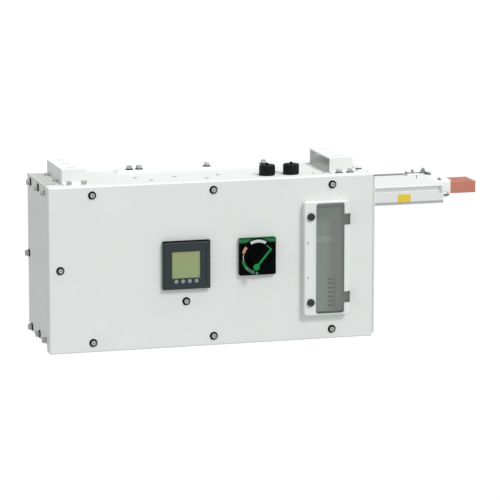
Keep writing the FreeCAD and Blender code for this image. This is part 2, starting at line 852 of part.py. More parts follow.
def roof_bolt(x, y, z, height=s.bolt_head):
    """A hexagon bolt head that stands on a roof piece."""
    return hexagon("Z", (x, y, z), height, s.bolt_across)


def gland_places():
    """Where the two cable glands stand, as (x, y)."""
    return [(s.gland_left + step * s.gland_pitch, s.gland_back) for step in (0, 1)]


def roof_fittings():
    """Hanger bolts, the rear rail with its bolts, and two cable glands with their locknuts."""
    seat = s.roof_top + s.hanger_sheet
    bolts = []
    hangers = ((s.hanger_left, -1, s.foot_bolt_spread_left), (s.hanger_right, 1, s.foot_bolt_spread_right))
    for middle, outward, spread in hangers:
        front = s.hanger_front - s.foot_bolt_ahead
        for side in (-0.5, 0.5):
            bolts.append(roof_bolt(middle + side * spread, front, seat))
        edge = middle + outward * (s.hanger_width / 2 + s.side_bolt_out)
        for step in (0, 1):
            back = s.hanger_front + s.side_bolt_behind + step * s.side_bolt_pitch
            bolts.append(roof_bolt(edge, back, seat, s.side_bolt_head))
    left, back = s.rail_left, s.casing_back
    piece("roof_rail", block((left, left + s.rail_length), (back - s.rail_depth_over, back),
                             (s.roof_top, s.roof_top + s.rail_height)))
    rail_top = s.roof_top + s.rail_height
    columns = (s.rail_bolt_first, s.rail_bolt_first + s.rail_bolt_pair, s.rail_bolt_third, s.rail_bolt_last)
    bolts += [roof_bolt(left + x, back - s.rail_bolt_ahead, rail_top) for x in columns]
    piece("roof_bolts", *bolts)
    glands = gland_places()
    top = s.roof_top
    nut = top - s.sheet - s.gland_nut
    under, thread = top - s.gland_below, s.gland_thread_radius
    bodies = [fuse(prism("Z", (x, y, top), s.gland_flange, s.gland_flange_radius),
                   prism("Z", (x, y, under), s.gland_below, thread)) for x, y in glands]
    locknuts = [cut(hexagon("Z", (x, y, nut), s.gland_nut, s.gland_nut_across),
                    prism("Z", (x, y, nut), s.gland_nut, thread + s.thread_fit)) for x, y in glands]
    piece("gland_bodies", *bodies, *locknuts)
    tall = s.gland_height - s.gland_flange
    piece("gland_caps", *[
        fuse(prism("Z", (x, y, top + s.gland_flange), tall, s.gland_radius, ROUND_SIDES),
             prism("Z", (x, y, top + s.gland_height), s.gland_nub, s.gland_nub_radius)) for x, y in glands])


# Window over the module row

def tab_heights(side):
    """The low and high end of one hinge tab, above or below the middle."""
    middle = side * s.flap_tab_up
    return middle - s.flap_tab_height / 2, middle + s.flap_tab_height / 2


def window_frame():
    """The white surround of the hinged window, hollow behind its face, notched at the hinge tabs."""
    left, right, low, high = s.frame_left, s.frame_right, -s.frame_bottom, s.frame_top
    front, back, wall = -s.frame_depth, -s.contact_gap, s.frame_wall
    body = new_body("window_frame")
    extrude(body, "XZ", front, back, rectangle(left, low, right, high))
    soften(body, "Fillet", s.frame_corner, runs_back)
    soften(body, "Chamfer", wall / 2, lies_at(front))
    extrude(body, "XZ", front + wall, back, rectangle(
        left + wall, low + wall, right - wall, high - wall), cut=True)
    fit = s.pane_fit
    extrude(body, "XZ", front, front + wall, rectangle(
        s.pane_left - fit, -s.pane_bottom - fit, s.pane_right + fit, s.pane_top + fit),
        *[disc(s.latch_out, side * s.latch_up, s.latch_stem_radius + s.pin_fit) for side in (-1, 1)],
        cut=True)
    gap = s.knuckle_gap
    notch = s.flap_hinge_out - s.flap_knuckle_radius - gap
    tabs = [tab_heights(side) for side in (-1, 1)]
    extrude(body, "XZ", front, back, *[
        rectangle(notch, start - gap, right + s.cut_over, end + gap) for start, end in tabs], cut=True)
    piece("window_frame", body)


def window_pane():
    """The tinted pane with a lip behind the surround and two hinge straps."""
    front = -s.frame_depth - s.pane_proud
    back = front + s.pane_thickness
    lip_front = s.frame_wall - s.frame_depth
    body = new_body("window_pane")
    extrude(body, "XZ", front, back, rectangle(s.pane_left, -s.pane_bottom, s.pane_right, s.pane_top))
    soften(body, "Fillet", s.pane_corner, runs_back)
    extrude(body, "XZ", lip_front, lip_front + s.pane_lip, rectangle(
        s.pane_left - s.pane_lip, -s.pane_bottom - s.pane_fit,
        s.pane_right + s.pane_lip, s.pane_top + s.pane_fit))
    hinge = s.flap_hinge_out
    radius, half = s.flap_knuckle_radius, s.flap_knuckle_height / 2
    straps = []
    for side in (-1, 1):
        low, high = tab_heights(side)
        middle = side * s.flap_tab_up
        edge, face = hinge - radius - 2 * s.knuckle_gap, front + s.flap_strap
        straps.append(block((s.pane_right - s.pane_corner, edge), (front, face), (low, high)))
        straps.append(block((edge, hinge), (front, face), (middle - half, middle + half)))
        straps.append(prism("Z", (hinge, -s.flap_hinge_ahead, middle - half), 2 * half, radius))
        straps.append(block((hinge - radius, hinge), (front, -s.flap_hinge_ahead),
                            (middle - half, middle + half)))
    bores = [rod("Z", (hinge, -s.flap_hinge_ahead, side * s.flap_tab_up - half), 2 * half,
                 s.flap_pin_radius + s.pin_fit) for side in (-1, 1)]
    piece("window_pane", cut(fuse(body, *straps), *bores))


def window_hinge():
    """Ears on the door, above and below each knuckle of the pane, and the pins through them."""
    x, y, r = s.flap_hinge_out, -s.flap_hinge_ahead, s.flap_knuckle_radius
    ears, pins, bore = [], [], s.flap_pin_radius + s.pin_fit / 2
    for side in (-1, 1):
        low, high = tab_heights(side)
        middle, half = side * s.flap_tab_up, s.flap_knuckle_height / 2 + s.contact_gap
        for start, end in ((low, middle - half), (middle + half, high)):
            round_end = prism("Z", (x, y, start), end - start, r)
            solid = fuse(round_end, block((x - r, x + r), (y, 0), (start, end)))
            ears.append(cut(solid, prism("Z", (x, y, start), end - start, bore)))
        pins.append(prism("Z", (x, y, low), high - low, s.flap_pin_radius))
    piece("window_hinge_ears", *ears)
    piece("window_hinge_pins", *pins)


def window_latch(label, side):
    """A quarter-turn knob held in the surround by a collar."""
    x, z = s.latch_out, side * s.latch_up
    face = -s.frame_depth - s.contact_gap
    back = s.frame_wall - s.frame_depth + s.contact_gap
    piece(label, fuse(
        prism("Y", (x, face - s.latch_height, z), s.latch_height, s.latch_radius),
        prism("Y", (x, face, z), s.sheet / 2 - face, s.latch_stem_radius, ROUND_SIDES),
        prism("Y", (x, back, z), s.leaf, s.latch_collar_radius)))


def window_tunnel():
    """The lining of the door's window opening, which reaches back to the module row."""
    wall, back = s.tunnel_wall, s.sheet + s.tunnel_depth
    body = new_body("window_tunnel")
    extrude(body, "XZ", s.sheet, back, rectangle(
        s.tunnel_left - wall, -s.tunnel_bottom - wall, s.tunnel_right + wall, s.tunnel_top + wall))
    extrude(body, "XZ", s.sheet, back, rectangle(
        s.tunnel_left, -s.tunnel_bottom, s.tunnel_right, s.tunnel_top), cut=True)
    piece("window_tunnel", body)


def module_row():
    """The fascia behind the window with its blanking strip, and the rail behind it."""
    front = s.sheet + s.tunnel_depth + s.fascia_gap
    back, middle = front + s.fascia, s.module_middle
    reach = s.module_row / 2 + s.strip_fit
    half = s.module_width / 2 + s.strip_fit
    left, right = s.tunnel_left - s.fascia_margin, s.tunnel_right + s.fascia_margin
    low, high = -s.tunnel_bottom - s.fascia_margin, s.tunnel_top + s.fascia_margin
    body = new_body("module_fascia")
    extrude(body, "XZ", front, back, rectangle(left, low, right, high))
    extrude(body, "XZ", front, back, rectangle(middle - half, -reach, middle + half, reach), cut=True)
    tab = s.fascia_tab / 2
    extrude(body, "XZ", front, back, rectangle(middle - tab, high, middle + tab, s.neck_top - s.sheet))
    extrude(body, "XZ", front, back, rectangle(middle - tab, s.sheet - s.floor_below, middle + tab, low))
    piece("module_fascia", body)
    strip = new_body("blanking_strip")
    edge, tall = s.module_width / 2, s.module_row / 2
    extrude(strip, "XZ", front + s.fascia / 2, back + s.fascia, rectangle(
        middle - edge, -tall, middle + edge, tall))
    brim = edge + s.strip_lip
    extrude(strip, "XZ", back, back + s.fascia, rectangle(middle - brim, -tall, middle + brim, tall))
    extrude(strip, "XZ", back, back + s.fascia, rectangle(
        middle - edge + s.fascia, s.fascia - tall, middle + edge - s.fascia, tall - s.fascia), cut=True)
    inner = middle + edge - s.strip_rib_width
    ribs = [rectangle(inner, -s.strip_rib_first - number * s.strip_rib_pitch - s.fascia,
                      middle + edge - s.fascia, -s.strip_rib_first - number * s.strip_rib_pitch)
            for number in range(STRIP_RIBS)]
    extrude(strip, "XZ", front, front + s.fascia / 2, *ribs)
    piece("blanking_strip", strip)
    rail = new_body("din_rail")
    face, t, depth = s.rail_front_back, s.rail_sheet, s.rail_depth
    brim, web = s.rail_width / 2, s.rail_web / 2
    bottom, top = s.rail_over_plate - s.plate_bottom, s.bar_bottom - s.rail_under_bars
    extrude(rail, "XY", bottom, top, path(
        (middle - brim, face), (middle - web, face), (middle - web, face + depth - t),
        (middle + web, face + depth - t), (middle + web, face), (middle + brim, face),
        (middle + brim, face + t), (middle + web + t, face + t), (middle + web + t, face + depth),
        (middle - web - t, face + depth), (middle - web - t, face + t), (middle - brim, face + t)))
    foot, seat = s.rail_foot, face + depth
    feet = [block((middle - web, middle + web), (seat, s.plate_front), (low_end, low_end + foot))
            for low_end in (bottom + foot, top - 2 * foot)]
    piece("din_rail", rail, *feet)


# Meter

def meter():
    """A panel meter: bevelled bezel, screen, four keys and the case behind the door."""
    x, z, half = -s.meter_left, s.meter_up, s.meter_face / 2
    left, top, front = x - half, z + half, -s.meter_proud
    bezel = new_body("meter_bezel")
    extrude(bezel, "XZ", front, 0, rectangle(x - half, z - half, x + half, z + half))
    soften(bezel, "Chamfer", s.meter_bevel, lies_at(front))
    keys = [(left + s.button_first + number * s.button_pitch, top - s.button_from_top)
            for number in range(BUTTONS)]
    screen = (left + s.screen_from_left, top - s.screen_from_top - s.screen_height,
              left + s.screen_from_left + s.screen_width, top - s.screen_from_top)
    extrude(bezel, "XZ", front, front + 2 * s.screen_recess, rectangle(*screen), cut=True)
    piece("meter_bezel", drill(bezel, keys, front, front + s.button_bore, s.button_radius + s.contact_gap))
    glass = new_body("meter_screen")
    extrude(glass, "XZ", front + s.screen_recess, front + 2 * s.screen_recess, rectangle(*screen))
    piece("meter_screen", glass)
    for number, (kx, kz) in enumerate(keys, start=1):
        rear = front + s.button_bore - s.button_travel - s.contact_gap
        piece(f"meter_button_{number}", prism("Y", (kx, rear - s.button_length, kz), s.button_length,
                                              s.button_radius))
    case, reach = new_body("meter_case"), s.meter_case_width / 2
    extrude(case, "XZ", 0, s.meter_depth, rectangle(x - reach, z - reach, x + reach, z + reach))
    clip, tall = s.meter_cutout / 2 + s.sheet, s.meter_clip_height / 2
    extrude(case, "XZ", s.sheet, s.meter_depth / 2, rectangle(x - clip, z - tall, x + clip, z + tall))
    inset, low = s.meter_terminal_inset, z - reach + s.meter_terminal_inset
    extrude(case, "XZ", s.meter_depth - s.meter_terminal_depth, s.meter_depth, rectangle(
        x - reach + inset, low, x + reach - inset, low + s.meter_terminal_height), cut=True)
    piece("meter_case", case)


# Rotary handle on the door

def handle():
    """Square plate, raised dial ring, turning grip with its spindle, and the bush behind the door."""
    x, z, half = s.handle_right, s.handle_up, s.plate_size / 2
    face, raised = -s.plate_proud, -s.plate_proud - s.dial_height
    bore = s.spindle_radius + s.pin_fit
    plate = new_body("handle_plate")
    extrude(plate, "XZ", face, 0, rectangle(x - half, z - half, x + half, z + half))
    soften(plate, "Fillet", s.plate_corner, runs_back)
    sleeve = prism("Y", (x, 0, z), s.bush_back, s.bush_radius, ROUND_SIDES)
    piece("handle_plate", cut(fuse(plate, sleeve), rod("Y", (x, face, z), s.bush_back - face, bore)))
    dial = prism("Y", (x, raised, z), s.dial_height, s.dial_radius, ROUND_SIDES)
    piece("handle_dial", drill(dial, [(x, z)], raised, face, s.dial_inner_radius, ROUND_SIDES))
    grip = new_body("handle_grip")
    hub_back = face - s.contact_gap
    side = s.grip_width / 2
    extrude(grip, "XZ", -s.grip_front, -s.hub_front, path(
        (-s.grip_short_arm, -side / 2), (-s.grip_short_arm + side, -side), (s.grip_long_arm - side, -side),
        (s.grip_long_arm, -side / 2), (s.grip_long_arm, side), (-s.grip_short_arm + side, side),
        (-s.grip_short_arm, side / 2)))
    hub = prism("Y", (0, -s.hub_front, 0), s.hub_front + hub_back, s.hub_radius, ROUND_SIDES)
    spindle = rod("Y", (0, hub_back, 0), s.spindle_back - hub_back, s.spindle_radius)
    whole = drill(fuse(grip, hub, spindle), [(0, 0)], 0, s.spindle_back, s.socket_radius)
    piece("handle_grip", whole, at=(x, 0, z), turn=Rotation(Vector(0, 1, 0), -s.grip_angle.value))
    piece("handle_nut", cut(
        prism("Y", (x, s.sheet, z), s.bush_flange, s.bush_flange_radius, 6),
        prism("Y", (x, s.sheet, z), s.bush_flange, s.bush_radius + s.thread_fit, ROUND_SIDES)))


# Breaker

def pole_places():
    return [s.breaker_left + s.pole_pitch * (number + 0.5) for number in range(POLES)]


def breaker():
    """The four-pole moulded case: base, cover with a nose, trip unit, mechanism box, toggle and shaft."""
    left, right = s.breaker_left, s.breaker_left + POLES * s.pole_pitch
    x, z = s.handle_right, s.handle_up
    low, high = s.breaker_low, s.breaker_high
    back, over = s.plate_front, s.cut_over
    joint, nose = back - s.breaker_base, back - s.breaker_depth
    face = nose + s.nose_proud
    half = s.lug_pocket_width / 2
    pockets = []
    for pole in pole_places():
        pockets.append(rectangle(pole - half, high - s.lug_pocket_depth, pole + half, high + over))
        pockets.append(rectangle(pole - half, low - over, pole + half, low + s.lug_pocket_depth))
    base = new_body("breaker_base")
    extrude(base, "XZ", joint, back, rectangle(left, low, right, high))
    extrude(base, "XZ", joint, joint + s.lug_pocket_back, *pockets, cut=True)
    piece("breaker_base", base)
    cover = new_body("breaker_cover")
    extrude(cover, "XZ", face, joint, rectangle(left, low, right, high))
    soften(cover, "Chamfer", s.case_corner, lies_at(face))
    wide, tall = s.nose_width / 2, s.nose_height / 2
    extrude(cover, "XZ", nose, face, rectangle(x - wide, z - tall, x + wide, z + tall))
    extrude(cover, "XZ", joint - s.lug_pocket_front, joint, *pockets, cut=True)
    lugs = [(pole, height) for pole in pole_places()
            for height in (high - s.lug_pocket_depth / 2, low + s.lug_pocket_depth / 2)]
    gap = s.toggle_width / 2 + s.toggle_play
    extrude(cover, "XZ", nose, joint - s.sheet, rectangle(
        x - gap, z - s.toggle_slot / 2, x + gap, z + s.toggle_slot / 2), cut=True)
    pivot = s.toggle_pivot_back
    reach = gap + s.toggle_trunnion
    seat = rod("X", (x - reach, pivot, z), 2 * reach, s.toggle_trunnion_radius + s.pin_fit)
    cover = drill(cover, lugs, face, joint - s.lug_pocket_front, s.lug_screw_head, FEW_SIDES)
    piece("breaker_cover", cut(cover, seat))
    unit = new_body("trip_unit")
    unit_low = z - tall - s.contact_gap - s.trip_unit_height
    unit_right = x + wide
    extrude(unit, "XZ", face - s.trip_unit_proud, face, rectangle(
        x - wide, unit_low + s.case_corner, unit_right, unit_low + s.trip_unit_height))
    dials = [(x + step * 3 * s.trip_dial_radius, unit_low + s.trip_unit_height / 2) for step in (-1, 0, 1)]
    piece("trip_unit", drill(unit, dials, face - s.trip_unit_proud, face - s.trip_unit_proud / 3,
                             s.trip_dial_radius))
    lug_back = joint + s.lug_pocket_back
    pads, screws = [], []
    head_front = lug_back - 2 * s.link_thickness - s.lug_screw_head
    for pole, height in lugs:
        pad = block((pole - s.load_bar_width / 2, pole + s.load_bar_width / 2),
                    (lug_back - s.link_thickness, lug_back),
                    (height - s.lug_pocket_depth / 2, height + s.lug_pocket_depth / 2 - s.lug_inset))
        pads.append(pad)
        screws.append(hexagon("Y", (pole, head_front, height), s.lug_screw_head, s.lug_screw_across))
    piece("breaker_lugs", *pads)
    box = new_body("rotary_mechanism")
    bx, bz, wall = s.mechanism_width / 2, s.mechanism_height / 2, s.mechanism_wall
    extrude(box, "XZ", s.mechanism_front, nose, rectangle(x - bx, z - bz, x + bx, z + bz))
    soften(box, "Chamfer", s.sheet, lies_at(s.mechanism_front))
    extrude(box, "XZ", s.mechanism_front + wall, nose, rectangle(
        x - bx + wall, z - bz + wall, x + bx - wall, z + bz - wall), cut=True)
    extrude(box, "XZ", s.mechanism_front, s.mechanism_front + wall,
            disc(x, z, s.journal_radius + s.pin_fit), cut=True)
    piece("rotary_mechanism", box)
    lever = new_body("breaker_toggle")
    width, thick, tip = s.toggle_width / 2, s.toggle_thickness / 2, s.toggle_tip / 2
    extrude(lever, "YZ", -width, width, path(
        (thick, -thick), (thick, thick), (-s.toggle_reach / 2, thick), (-s.toggle_reach, tip),
        (-s.toggle_reach, -tip), (-s.toggle_reach / 2, -thick)))
    down = Rotation(Vector(1, 0, 0), s.toggle_swing.value)
    trunnion = prism("X", (s.contact_gap - reach, 0, 0), 2 * reach - 2 * s.contact_gap,
                     s.toggle_trunnion_radius)
    piece("breaker_toggle", fuse(lever, trunnion), at=(x, pivot, z), turn=down)
    across = s.shaft_across / 2
    front = s.mechanism_front
    piece("drive_shaft", fuse(
        block((x - across, x + across), (s.shaft_front, front), (z - across, z + across)),
        prism("Y", (x, front - wall, z), 3 * wall, s.journal_radius, ROUND_SIDES),
        prism("Y", (x, front - 2 * wall, z), 2 * wall - s.contact_gap, s.journal_radius + wall)))
    return screws


def bar_gaps(left, right):
    """The room that the four bars take between two places along them."""
    fronts = [s.bar_first + number * s.bar_pitch for number in range(POLES)]
    low, high = s.bar_bottom, s.bar_bottom + s.bar_height
    return [block((left, right), (front, front + s.bar_thickness), (low, high)) for front in fronts]


def power_path():
    """Main bars, links to the breaker, load bars with their transformers, supports and the earth bar."""
    low, high = s.breaker_low, s.breaker_high
    lug_front = s.plate_front - s.breaker_base + s.lug_pocket_back - s.link_thickness
    bars, links = [], []
    half, t = s.link_width / 2, s.link_thickness
    bar_top, run = s.bar_bottom + s.bar_height, s.link_run
    for number, pole in enumerate(reversed(pole_places())):
        front = s.bar_first + number * s.bar_pitch
        rear = front + s.bar_thickness
        bars.append(block((pole - half, s.bar_end), (front, rear), (s.bar_bottom, bar_top)))
        links.append(fuse(
            block((pole - half, pole + half), (rear, rear + t), (run - t, bar_top)),
            block((pole - half, pole + half), (rear, lug_front), (run - t, run)),
            block((pole - half + t / 2, pole + half - t / 2), (lug_front - t, lug_front),
                  (high - s.lug_pocket_depth, run))))
    piece("phase_bars", *bars)
    piece("line_links", *links)
    strips, cores = [], []
    wide, lower = s.load_bar_width / 2, low - s.load_bar_reach
    core_top, fit = low - s.transformer_gap, s.transformer_fit
    hole = lower + s.load_hole_inset
    for pole in pole_places():
        strip = block((pole - wide, pole + wide), (lug_front - t, lug_front),
                      (lower, low + s.lug_pocket_depth - s.lug_inset))
        strips.append(drill(strip, [(pole, hole)], lug_front - t, lug_front, s.load_hole_radius))
        core = block((pole - s.transformer_width / 2, pole + s.transformer_width / 2),
                     (lug_front - s.transformer_depth / 2, lug_front + s.transformer_depth / 2),
                     (core_top - s.transformer_height, core_top))
        window = block((pole - wide - fit, pole + wide + fit), (lug_front - t - fit, lug_front + fit),
                       (core_top - s.transformer_height, core_top))
        cores.append(cut(core, window))
    piece("load_bars", *strips)
    piece("current_transformers", *cores)
    supports = []
    margin, roof, over = s.bar_support_margin, s.roof_top - s.sheet, s.cut_over
    last = s.casing_width / 2 - s.bar_support_inset
    rear_bar = s.bar_first + (POLES - 1) * s.bar_pitch + s.bar_thickness
    for start in (last - s.bar_support_gap, last):
        comb = block((start, start + s.bar_support_width), (s.bar_first - margin, rear_bar + margin),
                     (s.bar_bottom - margin / 2, roof))
        supports.append(cut(comb, *bar_gaps(start - over, start + s.bar_support_width + over)))
    piece("bar_supports", *supports)
    seat = s.plate_front - s.earth_standoff
    x0, z0 = s.earth_inset - s.plate_left, s.earth_over_plate - s.plate_bottom
    x1 = x0 + s.earth_length
    earth = block((x0, x1), (seat - s.earth_thickness, seat), (z0 - s.earth_height, z0))
    middle = z0 - s.earth_height / 2
    ends = [prism("Y", (x, seat, middle), s.earth_standoff, s.standoff_radius, FEW_SIDES)
            for x in (x0 + s.earth_height / 2, x1 - s.earth_height / 2)]
    studs = [hexagon("Y", (x0 + (number + 1) * s.earth_height, seat - 2 * s.earth_thickness, middle),
                     s.earth_thickness, s.lug_screw_across) for number in range(EARTH_BOLTS)]
    piece("earth_bar", earth)
    return ends, studs


def mounting_plate(earth_posts):
    """The plate that carries the breaker and the module row, with the posts in front of it and behind."""
    back = s.plate_front + s.sheet
    piece("mounting_plate", block((-s.plate_left, s.plate_right), (s.plate_front, back),
                                  (-s.plate_bottom, s.plate_top)))
    inset = 3 * s.standoff_radius
    depth = s.casing_back - s.sheet - back
    standoffs = [prism("Y", (x, back, z), depth, s.standoff_radius, FEW_SIDES)
                 for x in (inset - s.plate_left, (s.plate_right - s.plate_left) / 2, s.plate_right - inset)
                 for z in (inset - s.plate_bottom, s.plate_top - inset)]
    x, z, front = -s.post_left, -s.post_down, s.rim_front
    screw_post = cut(prism("Y", (x, front, z), s.plate_front - front, s.post_radius),
                     prism("Y", (x, front, z), s.post_bore, s.door_screw_radius + s.swing_clearance))
    piece("plate_posts", *standoffs, screw_post, *earth_posts)


# Busbar trunking stub

def trunking():
    """The flat trunking casing with a groove and a sill along its front, the end block and the clamp."""
    front, back, low, high, t = s.trunk_front, s.trunk_back, s.trunk_bottom, s.trunk_top, s.trunk_wall
    brow, sill = high - s.trunk_brow, low + s.trunk_sill
    groove, under, inner = front + s.trunk_groove_depth, front + s.trunk_sill_depth, s.trunk_inner
    body = new_body("trunking_casing")
    extrude(body, "YZ", s.trunk_start, s.trunk_end, path(
        (under, low), (back, low), (back, high), (front, high), (front, brow), (groove, brow),
        (groove, brow - s.trunk_groove), (front, brow - s.trunk_groove), (front, sill), (under, sill)))
    extrude(body, "YZ", s.trunk_end - s.trunk_collar, s.trunk_end, rectangle(front, sill, back, high))
    extrude(body, "YZ", s.trunk_start, s.trunk_end, rectangle(inner, low + t, back - t, high - t), cut=True)
    piece("trunking_casing", body)
    margin = s.insulator_margin
    y0 = s.bar_first - margin
    y1 = s.bar_first + (POLES - 1) * s.bar_pitch + s.bar_thickness + margin
    bar_top = s.bar_bottom + s.bar_height
    inside = block((s.insulator_start, s.trunk_end), (inner, back - t), (low + t, high - t))
    height = (s.bar_bottom - s.insulator_over, bar_top + s.insulator_over)
    stepped = s.bar_first + s.bar_pitch - margin / 2
    outside = [block((s.trunk_end, s.insulator_end), (y0, y1), height),
               block((s.trunk_end, s.insulator_end + s.insulator_step), (stepped, y1), height)]
    groove_cut = block((s.trunk_end + margin, s.trunk_end + 2 * margin),
                       (s.bar_first + margin, y1 - 2 * margin),
                       (bar_top + s.insulator_over / 2, bar_top + 2 * s.insulator_over))
    gaps = bar_gaps(s.insulator_start, s.insulator_end + s.insulator_step)
    piece("end_insulator", cut(fuse(inside, *outside), groove_cut, *gaps))
    radius = s.end_bolt_radius
    end_bolt = prism("X", (s.trunk_end, y0 - s.end_bolt_gap - radius, s.bar_bottom + s.end_bolt_over),
                     s.end_bolt_length, radius)
    x, y, seat = s.clamp_left, s.clamp_front, s.trunk_top
    plate = block((x, s.trunk_end), (y, back - t), (seat, seat + s.clamp_thickness))
    strip_front = s.casing_back - s.strip_ahead
    strip = block((s.casing_width / 2, x), (strip_front, strip_front + s.strip_wide), (seat, seat + t))
    piece("trunking_clamp", plate, strip)
    piece("trunking_bolts", end_bolt, *[
        roof_bolt(bolt, (y + back - t) / 2, seat + s.clamp_thickness)
        for bolt in (x + s.clamp_bolt_inset, s.trunk_end - s.clamp_bolt_inset)])


def build():
    casing_wrapper()
    side_panels()
    front_frame()
    side_screws()
    hanger_bracket("hanger_bracket_left", s.hanger_left, -1)
    hanger_bracket("hanger_bracket_right", s.hanger_right, 1)
    roof_fittings()
    door()
    door_seal()
    door_screws()
    piano_hinge()
    window_frame()
    window_pane()
    window_hinge()
    window_latch("window_latch_upper", 1)
    window_latch("window_latch_lower", -1)
    window_tunnel()
    module_row()
    meter()
    handle()
    lug_screws = breaker()
    earth_posts, earth_bolts = power_path()
    piece("terminal_bolts", *lug_screws, *earth_bolts)
    mounting_plate(earth_posts)
    trunking()


def check_and_export():
    """Stop on any failed feature or invalid solid, then write one STEP file for each sub-part."""
    doc.recompute()
    failed = [thing.Name for thing in doc.Objects if {"Invalid", "Error"} & set(thing.State)]
    if failed:
        raise RuntimeError("failed features: " + ", ".join(failed))
    for thing in pieces:
        if thing.Shape.isNull() or not thing.Shape.isValid() or not thing.Shape.Solids:
            raise RuntimeError("no valid solid: " + thing.Label)
    os.makedirs("parts", exist_ok=True)
    for thing in pieces:
        thing.Shape.exportStep(f"parts/{thing.Label}.step")
    print(len(pieces), "sub-parts,", sum(len(thing.Shape.Solids) for thing in pieces), "solids")


build()
check_and_export()
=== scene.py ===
import bmesh
import bpy
from math import cos, pi, radians, sin
from mathutils import Matrix, Vector

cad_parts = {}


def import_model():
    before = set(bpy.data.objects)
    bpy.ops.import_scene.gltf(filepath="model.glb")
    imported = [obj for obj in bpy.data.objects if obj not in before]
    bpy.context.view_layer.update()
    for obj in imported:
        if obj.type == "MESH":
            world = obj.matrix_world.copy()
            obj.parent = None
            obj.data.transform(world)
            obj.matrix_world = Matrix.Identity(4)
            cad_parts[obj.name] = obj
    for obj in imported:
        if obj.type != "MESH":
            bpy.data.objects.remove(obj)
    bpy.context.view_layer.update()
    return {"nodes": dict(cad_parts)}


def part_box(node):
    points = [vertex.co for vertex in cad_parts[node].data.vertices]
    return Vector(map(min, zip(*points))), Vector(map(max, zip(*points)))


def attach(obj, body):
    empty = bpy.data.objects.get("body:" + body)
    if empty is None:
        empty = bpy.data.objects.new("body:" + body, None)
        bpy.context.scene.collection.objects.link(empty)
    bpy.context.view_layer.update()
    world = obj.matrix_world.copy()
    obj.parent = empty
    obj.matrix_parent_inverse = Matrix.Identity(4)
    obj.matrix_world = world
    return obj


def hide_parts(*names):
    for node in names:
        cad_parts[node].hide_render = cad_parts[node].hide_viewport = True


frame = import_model()

# Pieces are drawn in millimetres from the middle of the door's front face, as the photo was measured:
# +X to the right, +Y to the back, +Z up. TO_FRAME takes them to the frame's own metres.
FRAME_ORIGIN = Vector((9, 138, 190.5))
TO_FRAME = Matrix.Scale(0.001, 4) @ Matrix.Translation(-FRAME_ORIGIN)
# Turns that point local Z out of a side of the object.
OUT = {
    "front": Matrix.Rotation(radians(90), 4, "X"),
    "top": Matrix.Identity(4),
    "left": Matrix.Rotation(radians(-90), 4, "Y"),
    "right": Matrix.Rotation(radians(90), 4, "Y"),
}

# Materials

# Places along X with the veil's strength there, from the pane's left edge to its right rim.
# The veil grows to the right, which paints light over the shade that falls on the row behind the pane there.
PANE_VEIL = ((209, 0.3), (260, 0.38))
# Darker rims of the pane: an axis, the two places along it, and how strong.
PANE_RIMS = (("X", 259, 267, 0.45), ("X", 267, 282, 0.75), ("Z", 104, 108, 0.5), ("Z", -111, -105.5, 0.9))
# The Mix node's sockets for colours go by number, because their names come up more than once.
SHARE, FIRST, SECOND, BLENDED = 0, 6, 7, 2


def linear(colour):
    """An sRGB hex colour as linear red, green, blue and alpha."""
    values = [int(colour[place:place + 2], 16) / 255 for place in (1, 3, 5)]
    return [v / 12.92 if v <= 0.04045 else ((v + 0.055) / 1.055) ** 2.4 for v in values] + [1]


def node(tree, kind, inputs=None, **settings):
    """Add one shader node; an input takes a value or another node's output."""
    made = tree.nodes.new("ShaderNode" + kind)
    for name, value in settings.items():
        setattr(made, name, value)
    for name, value in (inputs or {}).items():
        if isinstance(value, bpy.types.NodeSocket):
            tree.links.new(value, made.inputs[name])
        else:
            made.inputs[name].default_value = value
    return made.outputs


def per_mm(size):
    """The texture scale whose pattern repeats about every so many millimetres of the object."""
    return 1000 / size


def in_frame(axis, value):
    """Where a place along one axis of the drawing lies in the frame's metres."""
    return (TO_FRAME @ Vector((value, value, value)))["XYZ".index(axis)]


def new_material(name, rough):
    """A new material with its node tree and its shader, which has this roughness."""
    material = bpy.data.materials.new(name)
    material.use_nodes = True
    shader = material.node_tree.nodes["Principled BSDF"]
    shader.inputs["Roughness"].default_value = rough
    return material, material.node_tree, shader


def surface(name, colour, rough, metallic=0.0, shade=None, shade_mm=60, mix=0.5, bump_mm=0.0, bump=0.0,
            stretch=None, specular=0.5):
    """A solid surface: a base colour, which may drift towards a second shade, and a fine bump."""
    material, tree, shader = new_material(name, rough)
    shader.inputs["Base Color"].default_value = linear(colour)
    shader.inputs["Metallic"].default_value = metallic
    shader.inputs["Specular IOR Level"].default_value = specular
    place = node(tree, "TexCoord")["Object"]
    if stretch:
        place = node(tree, "Mapping", {"Vector": place, "Scale": stretch})["Vector"]
    if shade:
        drift = node(tree, "TexNoise", {"Vector": place, "Scale": per_mm(shade_mm), "Detail": 3})["Fac"]
        # Noise keeps near its middle, so its values from 0.3 to 0.7 are spread over the whole drift.
        amount = node(tree, "MapRange", {"Value": drift, "From Min": 0.3, "From Max": 0.7,
                                         "To Max": mix})["Result"]
        tint = node(tree, "Mix", {FIRST: linear(colour), SECOND: linear(shade), SHARE: amount},
                    data_type="RGBA")[BLENDED]
        tree.links.new(tint, shader.inputs["Base Color"])
    if bump:
        grain = node(tree, "TexNoise", {"Vector": place, "Scale": per_mm(bump_mm), "Detail": 2})["Fac"]
        # The distance is the relief's full depth of 0.2 mm, in metres.
        relief = node(tree, "Bump", {"Height": grain, "Strength": bump, "Distance": 0.0002})["Normal"]
        tree.links.new(relief, shader.inputs["Normal"])
    return material


# The grain of mouldings, castings and rubber is really finer than 0.1 mm. It is drawn at 0.3 to 1.2 mm, so
# that it shows in a close view.

# Powder coat keeps a faint orange peel, so broad faces stay soft and their highlights break up.
powder_coat = surface("white_powder_coated_sheet", "#e0e4e2", 0.48, shade="#dce0dd", bump_mm=1.6, bump=0.12)
